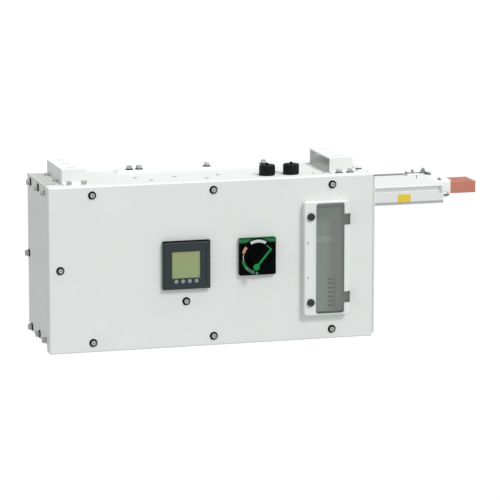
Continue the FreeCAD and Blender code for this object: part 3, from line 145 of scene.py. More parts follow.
# The hangers, the rail and the clamp are sprayed more thinly and look flatter than the door.
sprayed_steel = surface("white_sprayed_steel", "#e8ebe9", 0.55, shade="#e3e6e4", bump_mm=0.9, bump=0.1)
# The surround is moulded: smoother than the sheet, so its round edges catch a line of light.
white_moulding = surface("white_moulded_polycarbonate", "#e4e8e6", 0.32, shade="#e0e4e2", bump_mm=0.4,
                         bump=0.03)
# The module row is the usual light grey of such parts, a step darker than the surround before it.
grey_moulding = surface("light_grey_moulded_polycarbonate", "#d0d4d2", 0.4, shade="#caceca", shade_mm=20,
                        bump_mm=0.4, bump=0.04)
# Painted shade: grey sheets in the stub's groove and by the pane's step, darker ones on its sill and notch.
painted_shade_grey = surface("grey_painted_shade_sheet", "#d2d5d4", 0.5, shade="#cbcecd", shade_mm=20, bump_mm=0.6,
                         bump=0.08)
painted_shade_dark = surface("dark_painted_shade_sheet", "#bcc0bf", 0.5, shade="#b5b9b8", shade_mm=20, bump_mm=0.6,
                         bump=0.08)
# A matt grey sheet beside the left hanger paints the shade that falls there on the roof.
painted_shade_pale = surface("pale_painted_shade_sheet", "#b7bab8", 0.8, shade="#b1b4b2", shade_mm=14, bump_mm=1.2, bump=0.2,
                    specular=0.1)
# The end block is cast, whiter than the sheet.
cast_resin = surface("white_cast_resin", "#eff1f0", 0.45, shade="#e9ebea", shade_mm=12, bump_mm=0.5,
                     bump=0.06)
# Zinc plate on fasteners is grey, with a slightly clouded passivation.
zinc_plate = surface("zinc_plated_steel", "#c4c6c3", 0.4, metallic=0.6, shade="#a6a8a5", shade_mm=3,
                     bump_mm=0.5, bump=0.1)
# Galvanised sheet shows large dull crystals.
galvanised = surface("galvanised_sheet", "#a3a7a6", 0.42, metallic=0.8, shade="#7f8584", shade_mm=9, mix=0.9)
# Bars are drawn along X: the scratches run with them and pull the highlight out sideways.
drawn_copper = surface("drawn_copper_bar", "#c8836f", 0.42, metallic=0.25, shade="#ba7461", shade_mm=2.5,
                       stretch=(0.04, 1, 1), bump_mm=0.5, bump=0.12)
# Rubber washers and seals are dead black and swallow light.
black_rubber = surface("black_moulded_rubber", "#0b0c0c", 0.8, shade="#111212", shade_mm=4, bump_mm=0.6,
                       bump=0.2, specular=0.04)
# The sheet on the bezel's top side is the blackest thing on the door and has no shine at all.
black_top_sheet = surface("black_matt_top_sheet", "#040505", 0.9, shade="#070808", shade_mm=5, bump_mm=0.5,
                     bump=0.1, specular=0.0)
# Gland caps are grained nylon, black with a grey sheen on the edges.
black_nylon = surface("black_grained_nylon", "#121414", 0.45, shade="#181a1a", shade_mm=8, bump_mm=0.35,
                      bump=0.18, specular=0.14)
# The rotary handle is the deepest black of the nylons, polished, with little mirror shine.
handle_nylon = surface("black_moulded_handle_nylon", "#070909", 0.5, shade="#0b0d0d", shade_mm=9, bump_mm=0.4,
                       bump=0.08, specular=0.02)
# The window's ears and pins are smoke-grey like the pane's straps.
smoke_nylon = surface("smoke_grey_nylon", "#676b63", 0.4, shade="#5f635b", shade_mm=6, bump_mm=0.4, bump=0.05)
# The meter's case is a cool, bluish dark grey with a fine spark-eroded grain.
slate_moulding = surface("slate_moulded_abs", "#363d40", 0.5, shade="#30383b", shade_mm=14, bump_mm=0.3,
                         bump=0.12, specular=0.15)
# The bezel in front is the same plastic from another tool, a shade darker and quite even.
bezel_moulding = surface("slate_moulded_bezel", "#32393c", 0.5, bump_mm=0.3, bump=0.12, specular=0.2)
# Meter keys are pale silicone with a soft sheen.
key_silicone = surface("grey_moulded_silicone", "#8f9495", 0.55, shade="#82888a", shade_mm=5, bump_mm=0.5,
                       bump=0.05)
# Latch knobs are glass-filled nylon: dark grey, with a dry grain.
latch_nylon = surface("dark_glass_filled_nylon", "#3b3f3f", 0.5, shade="#333737", shade_mm=4, bump_mm=0.4,
                      bump=0.12, specular=0.2)
# The strip along the stub's rear edge is a matt grey that varies slightly.
grey_rear_strip = surface("grey_rear_edge_sheet", "#8b9090", 0.75, shade="#7b8080", shade_mm=7, bump_mm=0.7,
                      bump=0.15, specular=0.2)
# The breaker's case is pressed thermoset: mid grey, dry and lightly mottled.
grey_thermoset = surface("grey_pressed_thermoset", "#6c7170", 0.58, shade="#616665", shade_mm=6, bump_mm=0.5,
                         bump=0.15, specular=0.25)
# Screen-printed inks on the handle are thin, flat films without a grain of their own.
green_ink = surface("green_printed_ink", "#287440", 0.45, shade="#226738", shade_mm=12, specular=0.2)
pale_green_ink = surface("pale_green_printed_ink", "#5a8f71", 0.5, shade="#3f7a57", shade_mm=2, mix=0.9)
white_ink = surface("white_printed_ink", "#cdd5cf", 0.5, shade="#bdc5bf", shade_mm=3)
orange_ink = surface("orange_printed_ink", "#c48f76", 0.5, shade="#b98166", shade_mm=3)
# The handle's ridge is moulded in coloured nylon, brighter than the printed ring.
green_nylon = surface("green_moulded_nylon", "#148647", 0.35, shade="#127c3f", shade_mm=10, bump_mm=0.4,
                      bump=0.05, specular=0.2)
# The sticker on the stub is a glossy printed film, bare here.
yellow_film = surface("yellow_printed_vinyl", "#e7cb30", 0.3, shade="#dfc024", shade_mm=9)
# The printed edge of the display's window is a paler olive than the film.
border_film = surface("olive_printed_film", "#8a966a", 0.4, shade="#828e62", shade_mm=6)


def display():
    """Liquid crystal film under a clear sheet: olive, a little greener at the foot."""
    material, tree, shader = new_material("liquid_crystal_film", 0.22)
    height = node(tree, "SeparateXYZ", {"Vector": node(tree, "TexCoord")["Object"]})["Z"]
    low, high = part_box("meter_screen")
    fade = node(tree, "MapRange", {"Value": height, "From Min": low[2], "From Max": high[2]})["Result"]
    tint = node(tree, "Mix", {FIRST: linear("#919e74"), SECOND: linear("#949f6b"), SHARE: fade},
                data_type="RGBA")[BLENDED]
    tree.links.new(tint, shader.inputs["Base Color"])
    return material


def tinted_pane():
    """Smoke-tinted acrylic: the row behind shows through, greyed; its moulded rims are thicker and darker."""
    material, tree, shader = new_material("smoke_tinted_acrylic", 0.14)
    place = node(tree, "SeparateXYZ", {"Vector": node(tree, "TexCoord")["Object"]})
    rim = 0.0
    for axis, low, high, strength in PANE_RIMS:
        start, end = in_frame(axis, low), in_frame(axis, high)
        inside = node(tree, "Math", {0: place[axis], 1: (start + end) / 2, 2: (end - start) / 2},
                      operation="COMPARE")[0]
        share = node(tree, "Math", {0: inside, 1: strength}, operation="MULTIPLY")[0]
        rim = node(tree, "Math", {0: rim, 1: share}, operation="MAXIMUM")[0]
    tint = node(tree, "Mix", {FIRST: linear("#aeb2b0"), SECOND: linear("#3e423f"), SHARE: rim},
                data_type="RGBA")[BLENDED]
    tree.links.new(tint, shader.inputs["Base Color"])
    clear = node(tree, "BsdfTransparent", {"Color": linear("#e0e4e2")})["BSDF"]
    edge = node(tree, "LayerWeight", {"Blend": 0.3})["Facing"]
    (left, left_veil), (right, right_veil) = PANE_VEIL
    # Painted light: the stronger veil on the right lifts the shade that falls on the row behind.
    veil = node(tree, "MapRange", {"Value": place["X"], "From Min": in_frame("X", left), "To Min": left_veil,
                                   "From Max": in_frame("X", right), "To Max": right_veil})["Result"]
    body = node(tree, "Math", {0: veil, 1: edge}, operation="MAXIMUM")[0]
    body = node(tree, "Math", {0: body, 1: rim}, operation="MAXIMUM")[0]
    # The veil lies on the front only, and the lamps reach the row behind through the clear sheet.
    front = node(tree, "Math", {0: 1.0, 1: node(tree, "NewGeometry")["Backfacing"]}, operation="SUBTRACT")[0]
    seen = node(tree, "Math", {0: front, 1: node(tree, "LightPath")["Is Shadow Ray"]}, operation="SUBTRACT",
                use_clamp=True)[0]
    body = node(tree, "Math", {0: body, 1: seen}, operation="MULTIPLY")[0]
    mixed = node(tree, "MixShader", {0: body, 1: clear, 2: shader.outputs["BSDF"]})["Shader"]
    tree.links.new(mixed, tree.nodes["Material Output"].inputs["Surface"])
    return material


display_film = display()
smoke_acrylic = tinted_pane()

# The frame's own pieces, by what they are made of.
LOOKS = {
    powder_coat: ["casing_wrapper", "side_panel_left", "side_panel_right", "front_frame", "door",
                  "hinge_leaf_casing", "hinge_leaf_door", "trunking_casing"],
    sprayed_steel: ["hanger_bracket_left", "hanger_bracket_right", "roof_rail", "trunking_clamp"],
    white_moulding: ["window_frame", "window_tunnel"],
    grey_moulding: ["module_fascia", "blanking_strip"],
    cast_resin: ["end_insulator"],
    smoke_nylon: ["window_hinge_ears", "window_hinge_pins"],
    latch_nylon: ["window_latch_upper", "window_latch_lower"],
    zinc_plate: ["hinge_pin", "roof_bolts", "side_panel_screws", "door_screws", "plate_posts",
                 "drive_shaft", "terminal_bolts", "trunking_bolts"],
    galvanised: ["mounting_plate", "din_rail"],
    drawn_copper: ["phase_bars", "line_links", "load_bars", "breaker_lugs", "earth_bar"],
    black_rubber: ["door_screw_seals", "door_gasket"],
    black_nylon: ["gland_bodies", "gland_caps", "rotary_mechanism", "breaker_toggle", "current_transformers",
                  "trip_unit"],
    handle_nylon: ["handle_plate", "handle_grip", "handle_nut", "handle_dial"],
    slate_moulding: ["meter_case"],
    bezel_moulding: ["meter_bezel"],
    key_silicone: ["meter_button_1", "meter_button_2", "meter_button_3", "meter_button_4"],
    grey_thermoset: ["breaker_base", "breaker_cover", "bar_supports"],
    display_film: ["meter_screen"],
    smoke_acrylic: ["window_pane"],
}
# The frame's pieces whose folded, sawn or moulded edges are slightly rounded, with the radius.
ROUNDED = {
    1.2: ["hanger_bracket_left", "hanger_bracket_right", "trunking_casing", "trunking_clamp"],
    0.8: ["end_insulator", "meter_bezel", "breaker_base", "breaker_cover", "rotary_mechanism",
          "current_transformers", "bar_supports", "meter_case", "side_panel_left", "side_panel_right"],
    0.5: ["phase_bars", "line_links", "load_bars", "earth_bar", "mounting_plate", "trip_unit",
          "module_fascia", "breaker_toggle", "window_tunnel", "handle_plate"],
}


def dress_frame():
    """Give every piece of the frame its material, and the folded and moulded ones slightly rounded edges."""
    for material, names in LOOKS.items():
        for name in names:
            piece = frame["nodes"][name]
            piece.data.materials.clear()
            piece.data.materials.append(material)
    for radius, names in ROUNDED.items():
        for name in names:
            piece = frame["nodes"][name]
            join_facets(piece)
            round_edges(piece, radius, over=50)


# Mesh tools

def join_facets(piece):
    """Join a frame piece's facets, which meet at less than a degree, into whole faces."""
    weld = piece.modifiers.new("weld", "WELD")
    weld.merge_threshold = 1e-6
    flat = piece.modifiers.new("whole_faces", "DECIMATE")
    flat.decimate_type = "DISSOLVE"
    flat.angle_limit = radians(1)
    flat.use_dissolve_boundaries = False


def round_edges(piece, radius, over, even_faces=False):
    """Round the edges whose faces meet at over an angle in degrees; even faces keep their flat shading."""
    rim = piece.modifiers.new("edges", "BEVEL")
    rim.width = radius / 1000
    rim.segments = 2
    rim.limit_method = "ANGLE"
    rim.angle_limit = radians(over)
    rim.harden_normals = even_faces


def corners(mesh, place, height, points):
    """A ring of corners at one height along local Z."""
    return [mesh.verts.new(place @ Vector((x, y, height))) for x, y in points]


def bands(mesh, rings):
    """Join each ring of corners to the next with a band of faces."""
    for low, high in zip(rings, rings[1:]):
        count = len(low)
        for first in range(count):
            second = (first + 1) % count
            mesh.faces.new((low[first], low[second], high[second], high[first]))


def closed(mesh, rings):
    """A solid through rings of corners, closed at both ends."""
    bands(mesh, rings)
    mesh.faces.new(reversed(rings[0]))
    mesh.faces.new(rings[-1])


def round_points(reaches):
    """Points round the middle, one for each of their distances from it."""
    turns = [2 * pi * number / len(reaches) for number in range(len(reaches))]
    return [(reach * cos(turn), reach * sin(turn)) for reach, turn in zip(reaches, turns)]


def turned(mesh, place, profile, sides):
    """Rings of corners for a profile of (radius, height) pairs about the local Z axis."""
    return [corners(mesh, place, height, round_points([radius] * sides)) for radius, height in profile]


def lathe(mesh, place, profile, sides):
    """Turn a profile into a solid."""
    closed(mesh, turned(mesh, place, profile, sides))


def hoop(mesh, place, profile, sides):
    """Turn a closed profile into a hoop."""
    rings = turned(mesh, place, profile, sides)
    bands(mesh, rings + rings[:1])


def pin(mesh, place, radius, low, high, sides):
    """A plain round pin."""
    lathe(mesh, place, [(radius, low), (radius, high)], sides)


def stud(mesh, place, low, rim, top, sides=6):
    """A head with a chamfered top. Rim and top are (radius, height), and six sides make a hexagon."""
    lathe(mesh, place, [(rim[0], low), rim, top], sides)


def slab(mesh, place, outline, low, high):
    """Raise a flat outline of (x, y) points from low to high along local Z."""
    closed(mesh, [corners(mesh, place, height, outline) for height in (low, high)])


def wedge(mesh, near, far, section):
    """A prism between two ends; near and far each turn a point of the section into a place."""
    closed(mesh, [[mesh.verts.new(end(*point)) for point in section] for end in (near, far)])
    bmesh.ops.recalc_face_normals(mesh, faces=mesh.faces[:])


def border(mesh, place, outside, inside, low, high):
    """A flat rectangular frame; each rectangle is (left, foot, right, head)."""
    left, foot, right, head = outside
    inner_left, inner_foot, inner_right, inner_head = inside
    for outline in (bar(left, foot, right, inner_foot), bar(left, inner_head, right, head),
                    bar(left, inner_foot, inner_left, inner_head),
                    bar(inner_right, inner_foot, right, inner_head)):
        slab(mesh, place, outline, low, high)


def bar(left, low, right, high):
    """A rectangle's corners."""
    return [(left, low), (right, low), (right, high), (left, high)]


def sweep(x, y, radius, start, end, steps):
    """Points along a circle's arc about (x, y), from one angle to another in degrees."""
    turns = [radians(start + (end - start) * step / steps) for step in range(steps + 1)]
    return [(x + radius * cos(turn), y + radius * sin(turn)) for turn in turns]


def sector(inner, outer, start, end):
    """A ring sector's outline about the middle."""
    return sweep(0, 0, outer, start, end, 24) + sweep(0, 0, inner, start, end, 24)[::-1]


def rounded(width, height, radius):
    """A rectangle about the middle with round corners."""
    points = []
    for quarter, (x, y) in enumerate(((1, 1), (-1, 1), (-1, -1), (1, -1))):
        start = 90 * quarter
        points += sweep(x * (width / 2 - radius), y * (height / 2 - radius), radius, start, start + 90, 5)
    return points


def facing(side, x, y, z, turn=0):
    """A place on the object whose local Z points out of the named side, turned about it in degrees."""
    return Matrix.Translation((x, y, z)) @ OUT[side] @ Matrix.Rotation(radians(turn), 4, "Z")


def linked(mesh, name, material):
    """Turn a finished mesh into an object of the scene."""
    data = bpy.data.meshes.new(name)
    mesh.to_mesh(data)
    mesh.free()
    data.materials.append(material)
    piece = bpy.data.objects.new(name, data)
    bpy.context.scene.collection.objects.link(piece)
    return piece


def make(name, body, material, draw, bevel=0.0, stands_for=()):
    """Build one piece with draw(mesh) and let it ride on a body of the frame; the bevel is in millimetres."""
    mesh = bmesh.new()
    draw(mesh)
    bmesh.ops.transform(mesh, matrix=TO_FRAME, verts=mesh.verts)
    piece = linked(mesh, name, material)
    piece.data.polygons.foreach_set("use_smooth", [True] * len(piece.data.polygons))
    piece.data.set_sharp_from_angle(angle=radians(35))
    if bevel:
        round_edges(piece, bevel, over=30, even_faces=True)
    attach(piece, body)
    if stands_for:
        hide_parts(*stands_for)


# How far a piece's foot is let into the face that it stands on, so that no gap shows.
SUNK = -0.1

# Fasteners

# The door's screws as (x, z).
DOOR_SCREWS = [(x, z) for z in (147.7, -146.2) for x in (-244.4, 0.9, 246.2)] + [(-309.3, 1), (-55.3, -72.9)]
# The side panels' outer faces to the left and right, and their screws as (y, z). The row next to the door
# has no washers.
SIDE = 331
SIDE_SCREWS = [(y, z) for z in (152, -143) for y in (97, 168)] + [(188, 4.5)]
BARE_SIDE_SCREWS = [(37, 152), (37, -143)]
# The tops of the hangers' feet and of the rear rail, and the bolts on them as (x, y, z). Only the rail and
# the right hanger's front foot have washers, and the side feet have low heads.
FOOT = 163.5
RAIL = 165
RIGHT_FOOT_BOLTS = [(x, 40, FOOT) for x in (272.5, 295.5)]
RAIL_BOLTS = [(x, 186, RAIL) for x in (-124.3, -104.3, 37, 157)]
LEFT_FOOT_BOLTS = [(x, 40, FOOT) for x in (-281, -251)]
SIDE_FOOT_BOLTS = [(x, y, FOOT) for x in (-297.5, 315.5) for y in (93, 169)]


def screw_heads(mesh):
    """Hexagon heads with a chamfer and a socket, each in the middle of its rubber washer."""
    for x, z in DOOR_SCREWS:
        place = facing("front", x, 0, z, turn=15)
        pin(mesh, place, 2.5, -12, 1.5, sides=16)
        lathe(mesh, place, [(5.2, 1.5), (5.2, 4.7), (4.6, 5.5), (2.9, 5.5), (2.7, 5.2), (2.7, 3.2)], sides=6)


def sealing_washers(mesh):
    """Rubber washers, domed towards their outer edge."""
    profile = [(8.1, 0), (8.1, 1), (7.6, 1.5), (5.4, 1.9), (5, 1.5)]
    for x, z in DOOR_SCREWS:
        lathe(mesh, facing("front", x, 0, z), profile, sides=40)


def side_screw_heads(mesh):
    """Zinc hexagon heads with a chamfer, out from their washers."""
    on_washer, bare = 1.6, 0
    rows = [("left", -SIDE, SIDE_SCREWS, on_washer, 11), ("left", -SIDE, BARE_SIDE_SCREWS, bare, 11),
            ("right", SIDE, SIDE_SCREWS, on_washer, 25)]
    for side, x, screws, low, turn in rows:
        for y, z in screws:
            stud(mesh, facing(side, x, y, z, turn), low, (5.9, 7.6), (5.1, 8.5))


def side_screw_washers(mesh):
    """Black sealing washers under the side panels' screws."""
    for y, z in SIDE_SCREWS:
        for side, x in (("left", -SIDE), ("right", SIDE)):
            stud(mesh, facing(side, x, y, z), 0, (8, 1.1), (7.4, 1.7), sides=32)


def bolt_heads(mesh):
    """Hexagon heads on the roof, each screwed down to an angle of its own."""
    for number, (x, y, z) in enumerate(RIGHT_FOOT_BOLTS + RAIL_BOLTS):
        stud(mesh, facing("top", x, y, z, turn=17 * number), 1.3, (5.8, 7.2), (5.1, 8))
    for x, y, z in LEFT_FOOT_BOLTS:
        stud(mesh, facing("top", x, y, z, turn=x), 0, (5.8, 7.2), (5.1, 8))
    for x, y, z in SIDE_FOOT_BOLTS:
        stud(mesh, facing("top", x, y, z, turn=y), 0, (5.9, 2.8), (5.2, 3.5))


def bolt_washers(mesh):
    """Black washers under the bolts of the right hanger's front foot and of the rail."""
    for x, y, z in RIGHT_FOOT_BOLTS + RAIL_BOLTS:
        stud(mesh, facing("top", x, y, z), 0, (8, 1), (7.5, 1.5), sides=32)


# Roof

# The roof's height, and its glands, rivets and small boss as (x, y).
ROOF = 161
GLANDS = ((130.8, 69), (180.8, 69))
RIVETS = ((-132.5, 103), (-109, 64), (-54, 95), (4, 61), (36, 95), (159, 98), (226, 62), (248, 64))
BOSS = (323, 70)


def gland_caps(mesh):
    """Black caps with fine ribs round the wall, a chamfered top and a small nub."""
    wall, groove, ribs = 16.2, 0.35, 24
    ribbed = [wall - groove, wall, wall] * ribs
    for x, y in GLANDS:
        place = facing("top", x, y, ROOF)
        rings = [corners(mesh, place, height, round_points(ribbed)) for height in (2.5, 19.2)]
        rings += turned(mesh, place, [(14.9, 20.6), (12.6, 21), (12, 20.2)], len(ribbed))
        closed(mesh, rings)
        stud(mesh, place, 20, (2.5, 24.3), (1.9, 25), sides=20)


def roof_rivets(mesh):
    """Domed rivet heads on the roof."""
    for x, y in RIVETS:
        lathe(mesh, facing("top", x, y, ROOF), [(4, 0), (3.8, 0.8), (2.6, 1.5), (1, 1.8)], sides=24)


def rail_edge(mesh):
    """The rear rail's front and left edges, rolled down to the roof."""
    left, right, front, back = -150, 190, 172, 199
    roll, high = 6, RAIL - 0.1
    wedge(mesh, lambda y, z: Vector((left, y, z)), lambda y, z: Vector((right, y, z)),
          [(front - roll, ROOF), (front, ROOF), (front, high)])
    wedge(mesh, lambda x, z: Vector((x, front - roll, z)), lambda x, z: Vector((x, back, z)),
          [(left - roll, ROOF), (left, ROOF), (left, high)])


def foot_shade(mesh):
    """A grey sheet of painted shade beside the left hanger, level with the hanger's foot and a little over
    its rim.
    """
    slab(mesh, facing("top", 0, 0, ROOF), bar(-328.9, 63, -303, 198.5), SUNK, 2.8)


def lip_seal(mesh):
    """The bead of white sealant that runs from the roof up to the right panel's lip."""
    wedge(mesh, lambda x, z: Vector((x, 29, z)), lambda x, z: Vector((x, 198, z)),
          [(320, ROOF), (328.9, ROOF), (328.9, ROOF + 4.8)])


def corner_boss(mesh):
    """A low round boss beside the right hanger, with the hexagon head over its washer."""
    place = facing("top", *BOSS, ROOF)
    pin(mesh, place, 5.4, SUNK, 4.4, sides=32)
    stud(mesh, place, 5.6, (4.2, 7), (3.5, 7.6))


def corner_washer(mesh):
    """The black washer on the boss."""
    stud(mesh, facing("top", *BOSS, ROOF), 4.3, (6, 5.5), (5.4, 5.7), sides=32)


# Trunking stub

# Along X, the stub from just off the box to just off its own right end, and where its groove ends.
STUB_LEFT = 331.1
STUB_RIGHT = 497.6
GROOVE_RIGHT = 488.2
# Along Y, the stub's front, the floor of its groove and its sill.
STUB_FRONT = 45
GROOVE_FLOOR = 48.5
SILL = 50
# Along Z, the tops of the stub, of its clamp plate and of its end block.
STUB_TOP = 129
CLAMP_TOP = 132
BLOCK_TOP = 127
# The middle of the bolt in the stub's right end as (y, z).
END_BOLT = (77.4, 102.5)


def rear_edge_strip(mesh):
    """A grey strip along the stub's rear edge, against the box."""
    slab(mesh, facing("top", 0, 0, STUB_TOP), bar(STUB_LEFT, 181.6, 457.2, 187.4), 0.02, 2.9)


def clamp_parts(mesh):
    """A hooked bracket and a tab on the clamp plate, and a pin on the stub."""
    top = facing("top", 0, 0, CLAMP_TOP)
    slab(mesh, top, bar(460, 172, 464, 184), 0, 3.6)
    slab(mesh, top, bar(464, 178, 497, 182.5), 0, 1.8)
    slab(mesh, top, bar(503.2, 164, 511, 178), STUB_TOP - CLAMP_TOP, 1.8)
    pin(mesh, facing("top", 469.6, 136, STUB_TOP), 1.1, SUNK, 6.5, sides=12)


def stub_bolts(mesh):
    """The clamp's two bolts and the bolt that stands out of the stub's end."""
    small = facing("top", 475.2, 179.2, CLAMP_TOP, turn=10)
    pin(mesh, small, 1.6, SUNK, 4, sides=12)
    stud(mesh, small, 4, (3.5, 6.8), (2.9, 7.4))
    large = facing("top", 497, 175, CLAMP_TOP, turn=20)
    stud(mesh, large, STUB_TOP - CLAMP_TOP, (6, 5.6), (5.2, 6.2))
    stud(mesh, large, 5, (3.2, 10.4), (2.6, 11), sides=20)
    y, z = END_BOLT
    pin(mesh, facing("right", STUB_RIGHT, y, z), 3, 0, 21, sides=16)
    stud(mesh, facing("right", STUB_RIGHT + 9.1, y, z + 0.4, turn=12), 0, (4.8, 10.2), (4, 11.2))


def block_screw(mesh):
    """The hexagon screw on the end block."""
    stud(mesh, facing("top", 509.3, 109, BLOCK_TOP, turn=15), SUNK, (3.5, 4.6), (2.9, 5.2))


def end_sleeve(mesh):
    """The white sleeve on the end bolt."""
    pin(mesh, facing("right", STUB_RIGHT - SUNK, *END_BOLT), 4, 0, 9, sides=24)


def groove_end_shade(mesh):
    """A dark sheet that paints the shade in the notch where the groove ends on the collar."""
    outline = [(GROOVE_RIGHT, 112), (491.8, 112.6), (491.8, 124), (GROOVE_RIGHT, 123.4)]
    slab(mesh, facing("front", 0, STUB_FRONT, 0), outline, -0.2, 0.7)


def groove_shade(mesh):
    """A grey sheet of painted shade in the groove, with two fine ribs."""
    place = facing("front", 0, GROOVE_FLOOR, 0)
    slab(mesh, place, bar(STUB_LEFT, 119.1, GROOVE_RIGHT, 125.4), SUNK, 2)
    for low in (120.4, 123.2):
        slab(mesh, place, bar(STUB_LEFT, low, GROOVE_RIGHT, low + 0.9), 1.9, 2.4)


def sill_shade(mesh):
    """A darker sheet that paints the shade along the stub's set-back foot."""
    slab(mesh, facing("front", 0, SILL, 0), bar(STUB_LEFT, 90.8, 497.3, 96.1), SUNK, 2.6)


def stub_label(mesh):
    """A blank sticker on the stub's front."""
    slab(mesh, facing("front", 412.6, STUB_FRONT, 104.6), rounded(27, 15.6, 1.2), 0, 0.35)


# Handle

# The middles of the square plate and of the printed ring as (x, z), and half the side of the band on the
# plate. The ring stands out of the plate's front face by its height.
HANDLE = (89.5, 11.3)
RING = (89.1, 10.4)
BAND_HALF = 37.6
PLATE_FACE = -8.5
RING_HEIGHT = 3
# The grip's front face, and how far the grip is turned from level.
GRIP_FACE = -33
GRIP_TURN = 50


def on_plate(middle):
    """A place on the front of the handle's plate."""
    x, z = middle
    return facing("front", x, PLATE_FACE, z)


def dial(mesh):
    """The raised ring round the grip, with softened rims."""
    profile = [(25.4, 0), (25.4, 2.5), (25.9, RING_HEIGHT), (36, RING_HEIGHT), (36.6, 2.4), (36.6, 0)]
    hoop(mesh, on_plate(HANDLE), profile, sides=96)


def printed(inner, outer, start, end):
    """A printed sector on the handle's ring, from one angle to another."""
    def draw(mesh):
        slab(mesh, on_plate(RING), sector(inner, outer, start, end), RING_HEIGHT + SUNK, RING_HEIGHT + 0.2)
    return draw


def light_dot(mesh):
    """The round mark at the foot of the ring."""
    reach, turn = 32.4, radians(265.6)
    x, z = RING[0] + reach * cos(turn), RING[1] + reach * sin(turn)
    pin(mesh, facing("front", x, PLATE_FACE - RING_HEIGHT, z), 2.7, SUNK, 0.25, sides=24)


def handle_band(mesh):
    """The coloured band that wraps over the top of the plate, with a round corner on each side."""
    left, right = 1.2, 2.6
    outline = [(-BAND_HALF, 28.4), (BAND_HALF, 28.4)]
    outline += sweep(BAND_HALF - right, BAND_HALF - right, right, 0, 90, 6)
    outline += sweep(left - BAND_HALF, BAND_HALF - left, left, 90, 180, 6)
    slab(mesh, on_plate(HANDLE), outline, -8.3, 0.3)


def band_edge(mesh):
    """The band's black upper edge."""
    slab(mesh, on_plate(HANDLE), bar(-36.6, 36, 35, 37.7), 0.2, 0.5)


def grip_ridge(mesh):
    """The coloured ridge along the grip, its hooked tip and its round end."""
    place = facing("front", HANDLE[0], GRIP_FACE, HANDLE[1], turn=GRIP_TURN)
    slab(mesh, place, bar(-19, -5.6, 28, -1.4), -0.2, 0.7)
    slab(mesh, place, bar(25.8, -5.6, 28.2, 8.6), -0.2, 0.5)
    slab(mesh, place, sweep(-19.2, -3.4, 6.6, 0, 360, 28)[:-1], -0.2, 1.0)


# Meter

# The meter's middle as (x, z), half its side and its front face.
METER = (-56.1, 1.1)
METER_HALF = 48
BEZEL_FACE = -12
# The display's edges, its face, and how wide its shaded right side is.
DISPLAY_LEFT = METER[0] - METER_HALF + 17.1
DISPLAY_TOP = METER[1] + METER_HALF - 20.1
DISPLAY_RIGHT = DISPLAY_LEFT + 58.2
DISPLAY_LOW = DISPLAY_TOP - 53.3
DISPLAY_FACE = -10.8
SHADE_WIDTH = 1
# The first key's middle as (x, z), the step to the next one, and the face that they stand on.
FIRST_KEY = (-78.3, -30.6)
KEY_STEP = 13.74
KEY_SEAT = -6.5


def screen_border(mesh):
    """The pale edge of the display's window."""
    outside = (DISPLAY_LEFT, DISPLAY_LOW, DISPLAY_RIGHT - SHADE_WIDTH, DISPLAY_TOP)
    inside = (DISPLAY_LEFT + 1.6, DISPLAY_LOW + 1.4, DISPLAY_RIGHT - 3.2, DISPLAY_TOP - 2.2)
    border(mesh, facing("front", 0, DISPLAY_FACE, 0), outside, inside, SUNK, 0.4)


def screen_shade(mesh):
    """The dark inner side of the display's window."""
    outline = bar(DISPLAY_RIGHT - SHADE_WIDTH, DISPLAY_LOW, DISPLAY_RIGHT, DISPLAY_TOP)
    slab(mesh, facing("front", 0, DISPLAY_FACE, 0), outline, SUNK, 0.9)


def bezel_lip(mesh):
    """A black sheet over the bezel's top side."""
    reach = METER_HALF - 0.2
    outline = bar(METER[0] - reach, -10.6, METER[0] + reach, -0.1)
    slab(mesh, facing("top", 0, 0, METER[1] + METER_HALF), outline, SUNK, 0.3)


def bezel_step_shade(mesh):
    """A black line that paints the shade of the moulded step between the bezel's face and its right side."""
    slab(mesh, facing("front", 0, BEZEL_FACE, 0), bar(METER[0] + 38.2, -39, METER[0] + 39, 41), SUNK, 0.2)


def key_top(number):
    """One key with a domed top."""
    def draw(mesh):
        place = facing("front", FIRST_KEY[0] + KEY_STEP * number, KEY_SEAT, FIRST_KEY[1])
        lathe(mesh, place, [(4.3, 0), (4.3, 4.6), (3.9, 5.2), (2.6, 5.4)], sides=32)
    return draw


# Window

# The surround's front face, and its opening's sides and ends with the way into the opening from each.
FLAP_FACE = -15
OPENING_SIDES = ((208.5, 1), (267.1, -1))
OPENING_ENDS = ((-110.6, 1), (112.7, -1))
# The latches' place across, and how far up or down they are.
LATCH_X = 197.3
LATCH_UP = 86.8
# The front of the blanking strip in the module row behind the window.
STRIP_FACE = 24.5


def corner_webs(mesh):
    """The surround's rounded inner corners round the pane."""
    radius, place = 5.2, facing("front", 0, FLAP_FACE, 0)
    for x, across in OPENING_SIDES:
        for z, up in OPENING_ENDS:
            start, end = -90 * up, -90 * up * (1 + across)
            outline = [(x, z)] + sweep(x + across * radius, z + up * radius, radius, start, end, 8)
            slab(mesh, place, outline if across == up else outline[::-1], -2.4, 0)


def latch(up):
    """A quarter-turn knob with a screwdriver slot sunk between two raised cheeks."""
    def draw(mesh):
        place = facing("front", LATCH_X, FLAP_FACE - 0.3, up)
        pin(mesh, place, 2.5, -16.3, 0, sides=20)
        lathe(mesh, place, [(7.5, 0), (7.5, 3.9), (6.9, 4.5), (6.2, 4.6)], sides=36)
        half_slot, wide, deep = 0.9, 5.9, 5
        for side in (-1, 1):
            cheek = [(wide * cos(turn), side * (half_slot + abs(deep * sin(turn))))
                     for turn in (pi * step / 12 for step in range(13))]
            slab(mesh, place, cheek if side > 0 else cheek[::-1], 4.5, 5.7)
    return draw


def rail_step_shade(mesh):
    """A grey line that paints the shade of the moulded step between the latches, beside the pane."""
    slab(mesh, facing("front", 0, FLAP_FACE, 0), bar(203.8, -70, 204.8, 74), SUNK, 0.15)


def window_dimples(mesh):
    """Two small plugs beside the pane."""
    for x, z in ((191.6, 33.8), (192.4, -36.2)):
        lathe(mesh, facing("front", x, FLAP_FACE, z), [(1.9, SUNK), (1.7, 0.4), (1, 0.6)], sides=20)


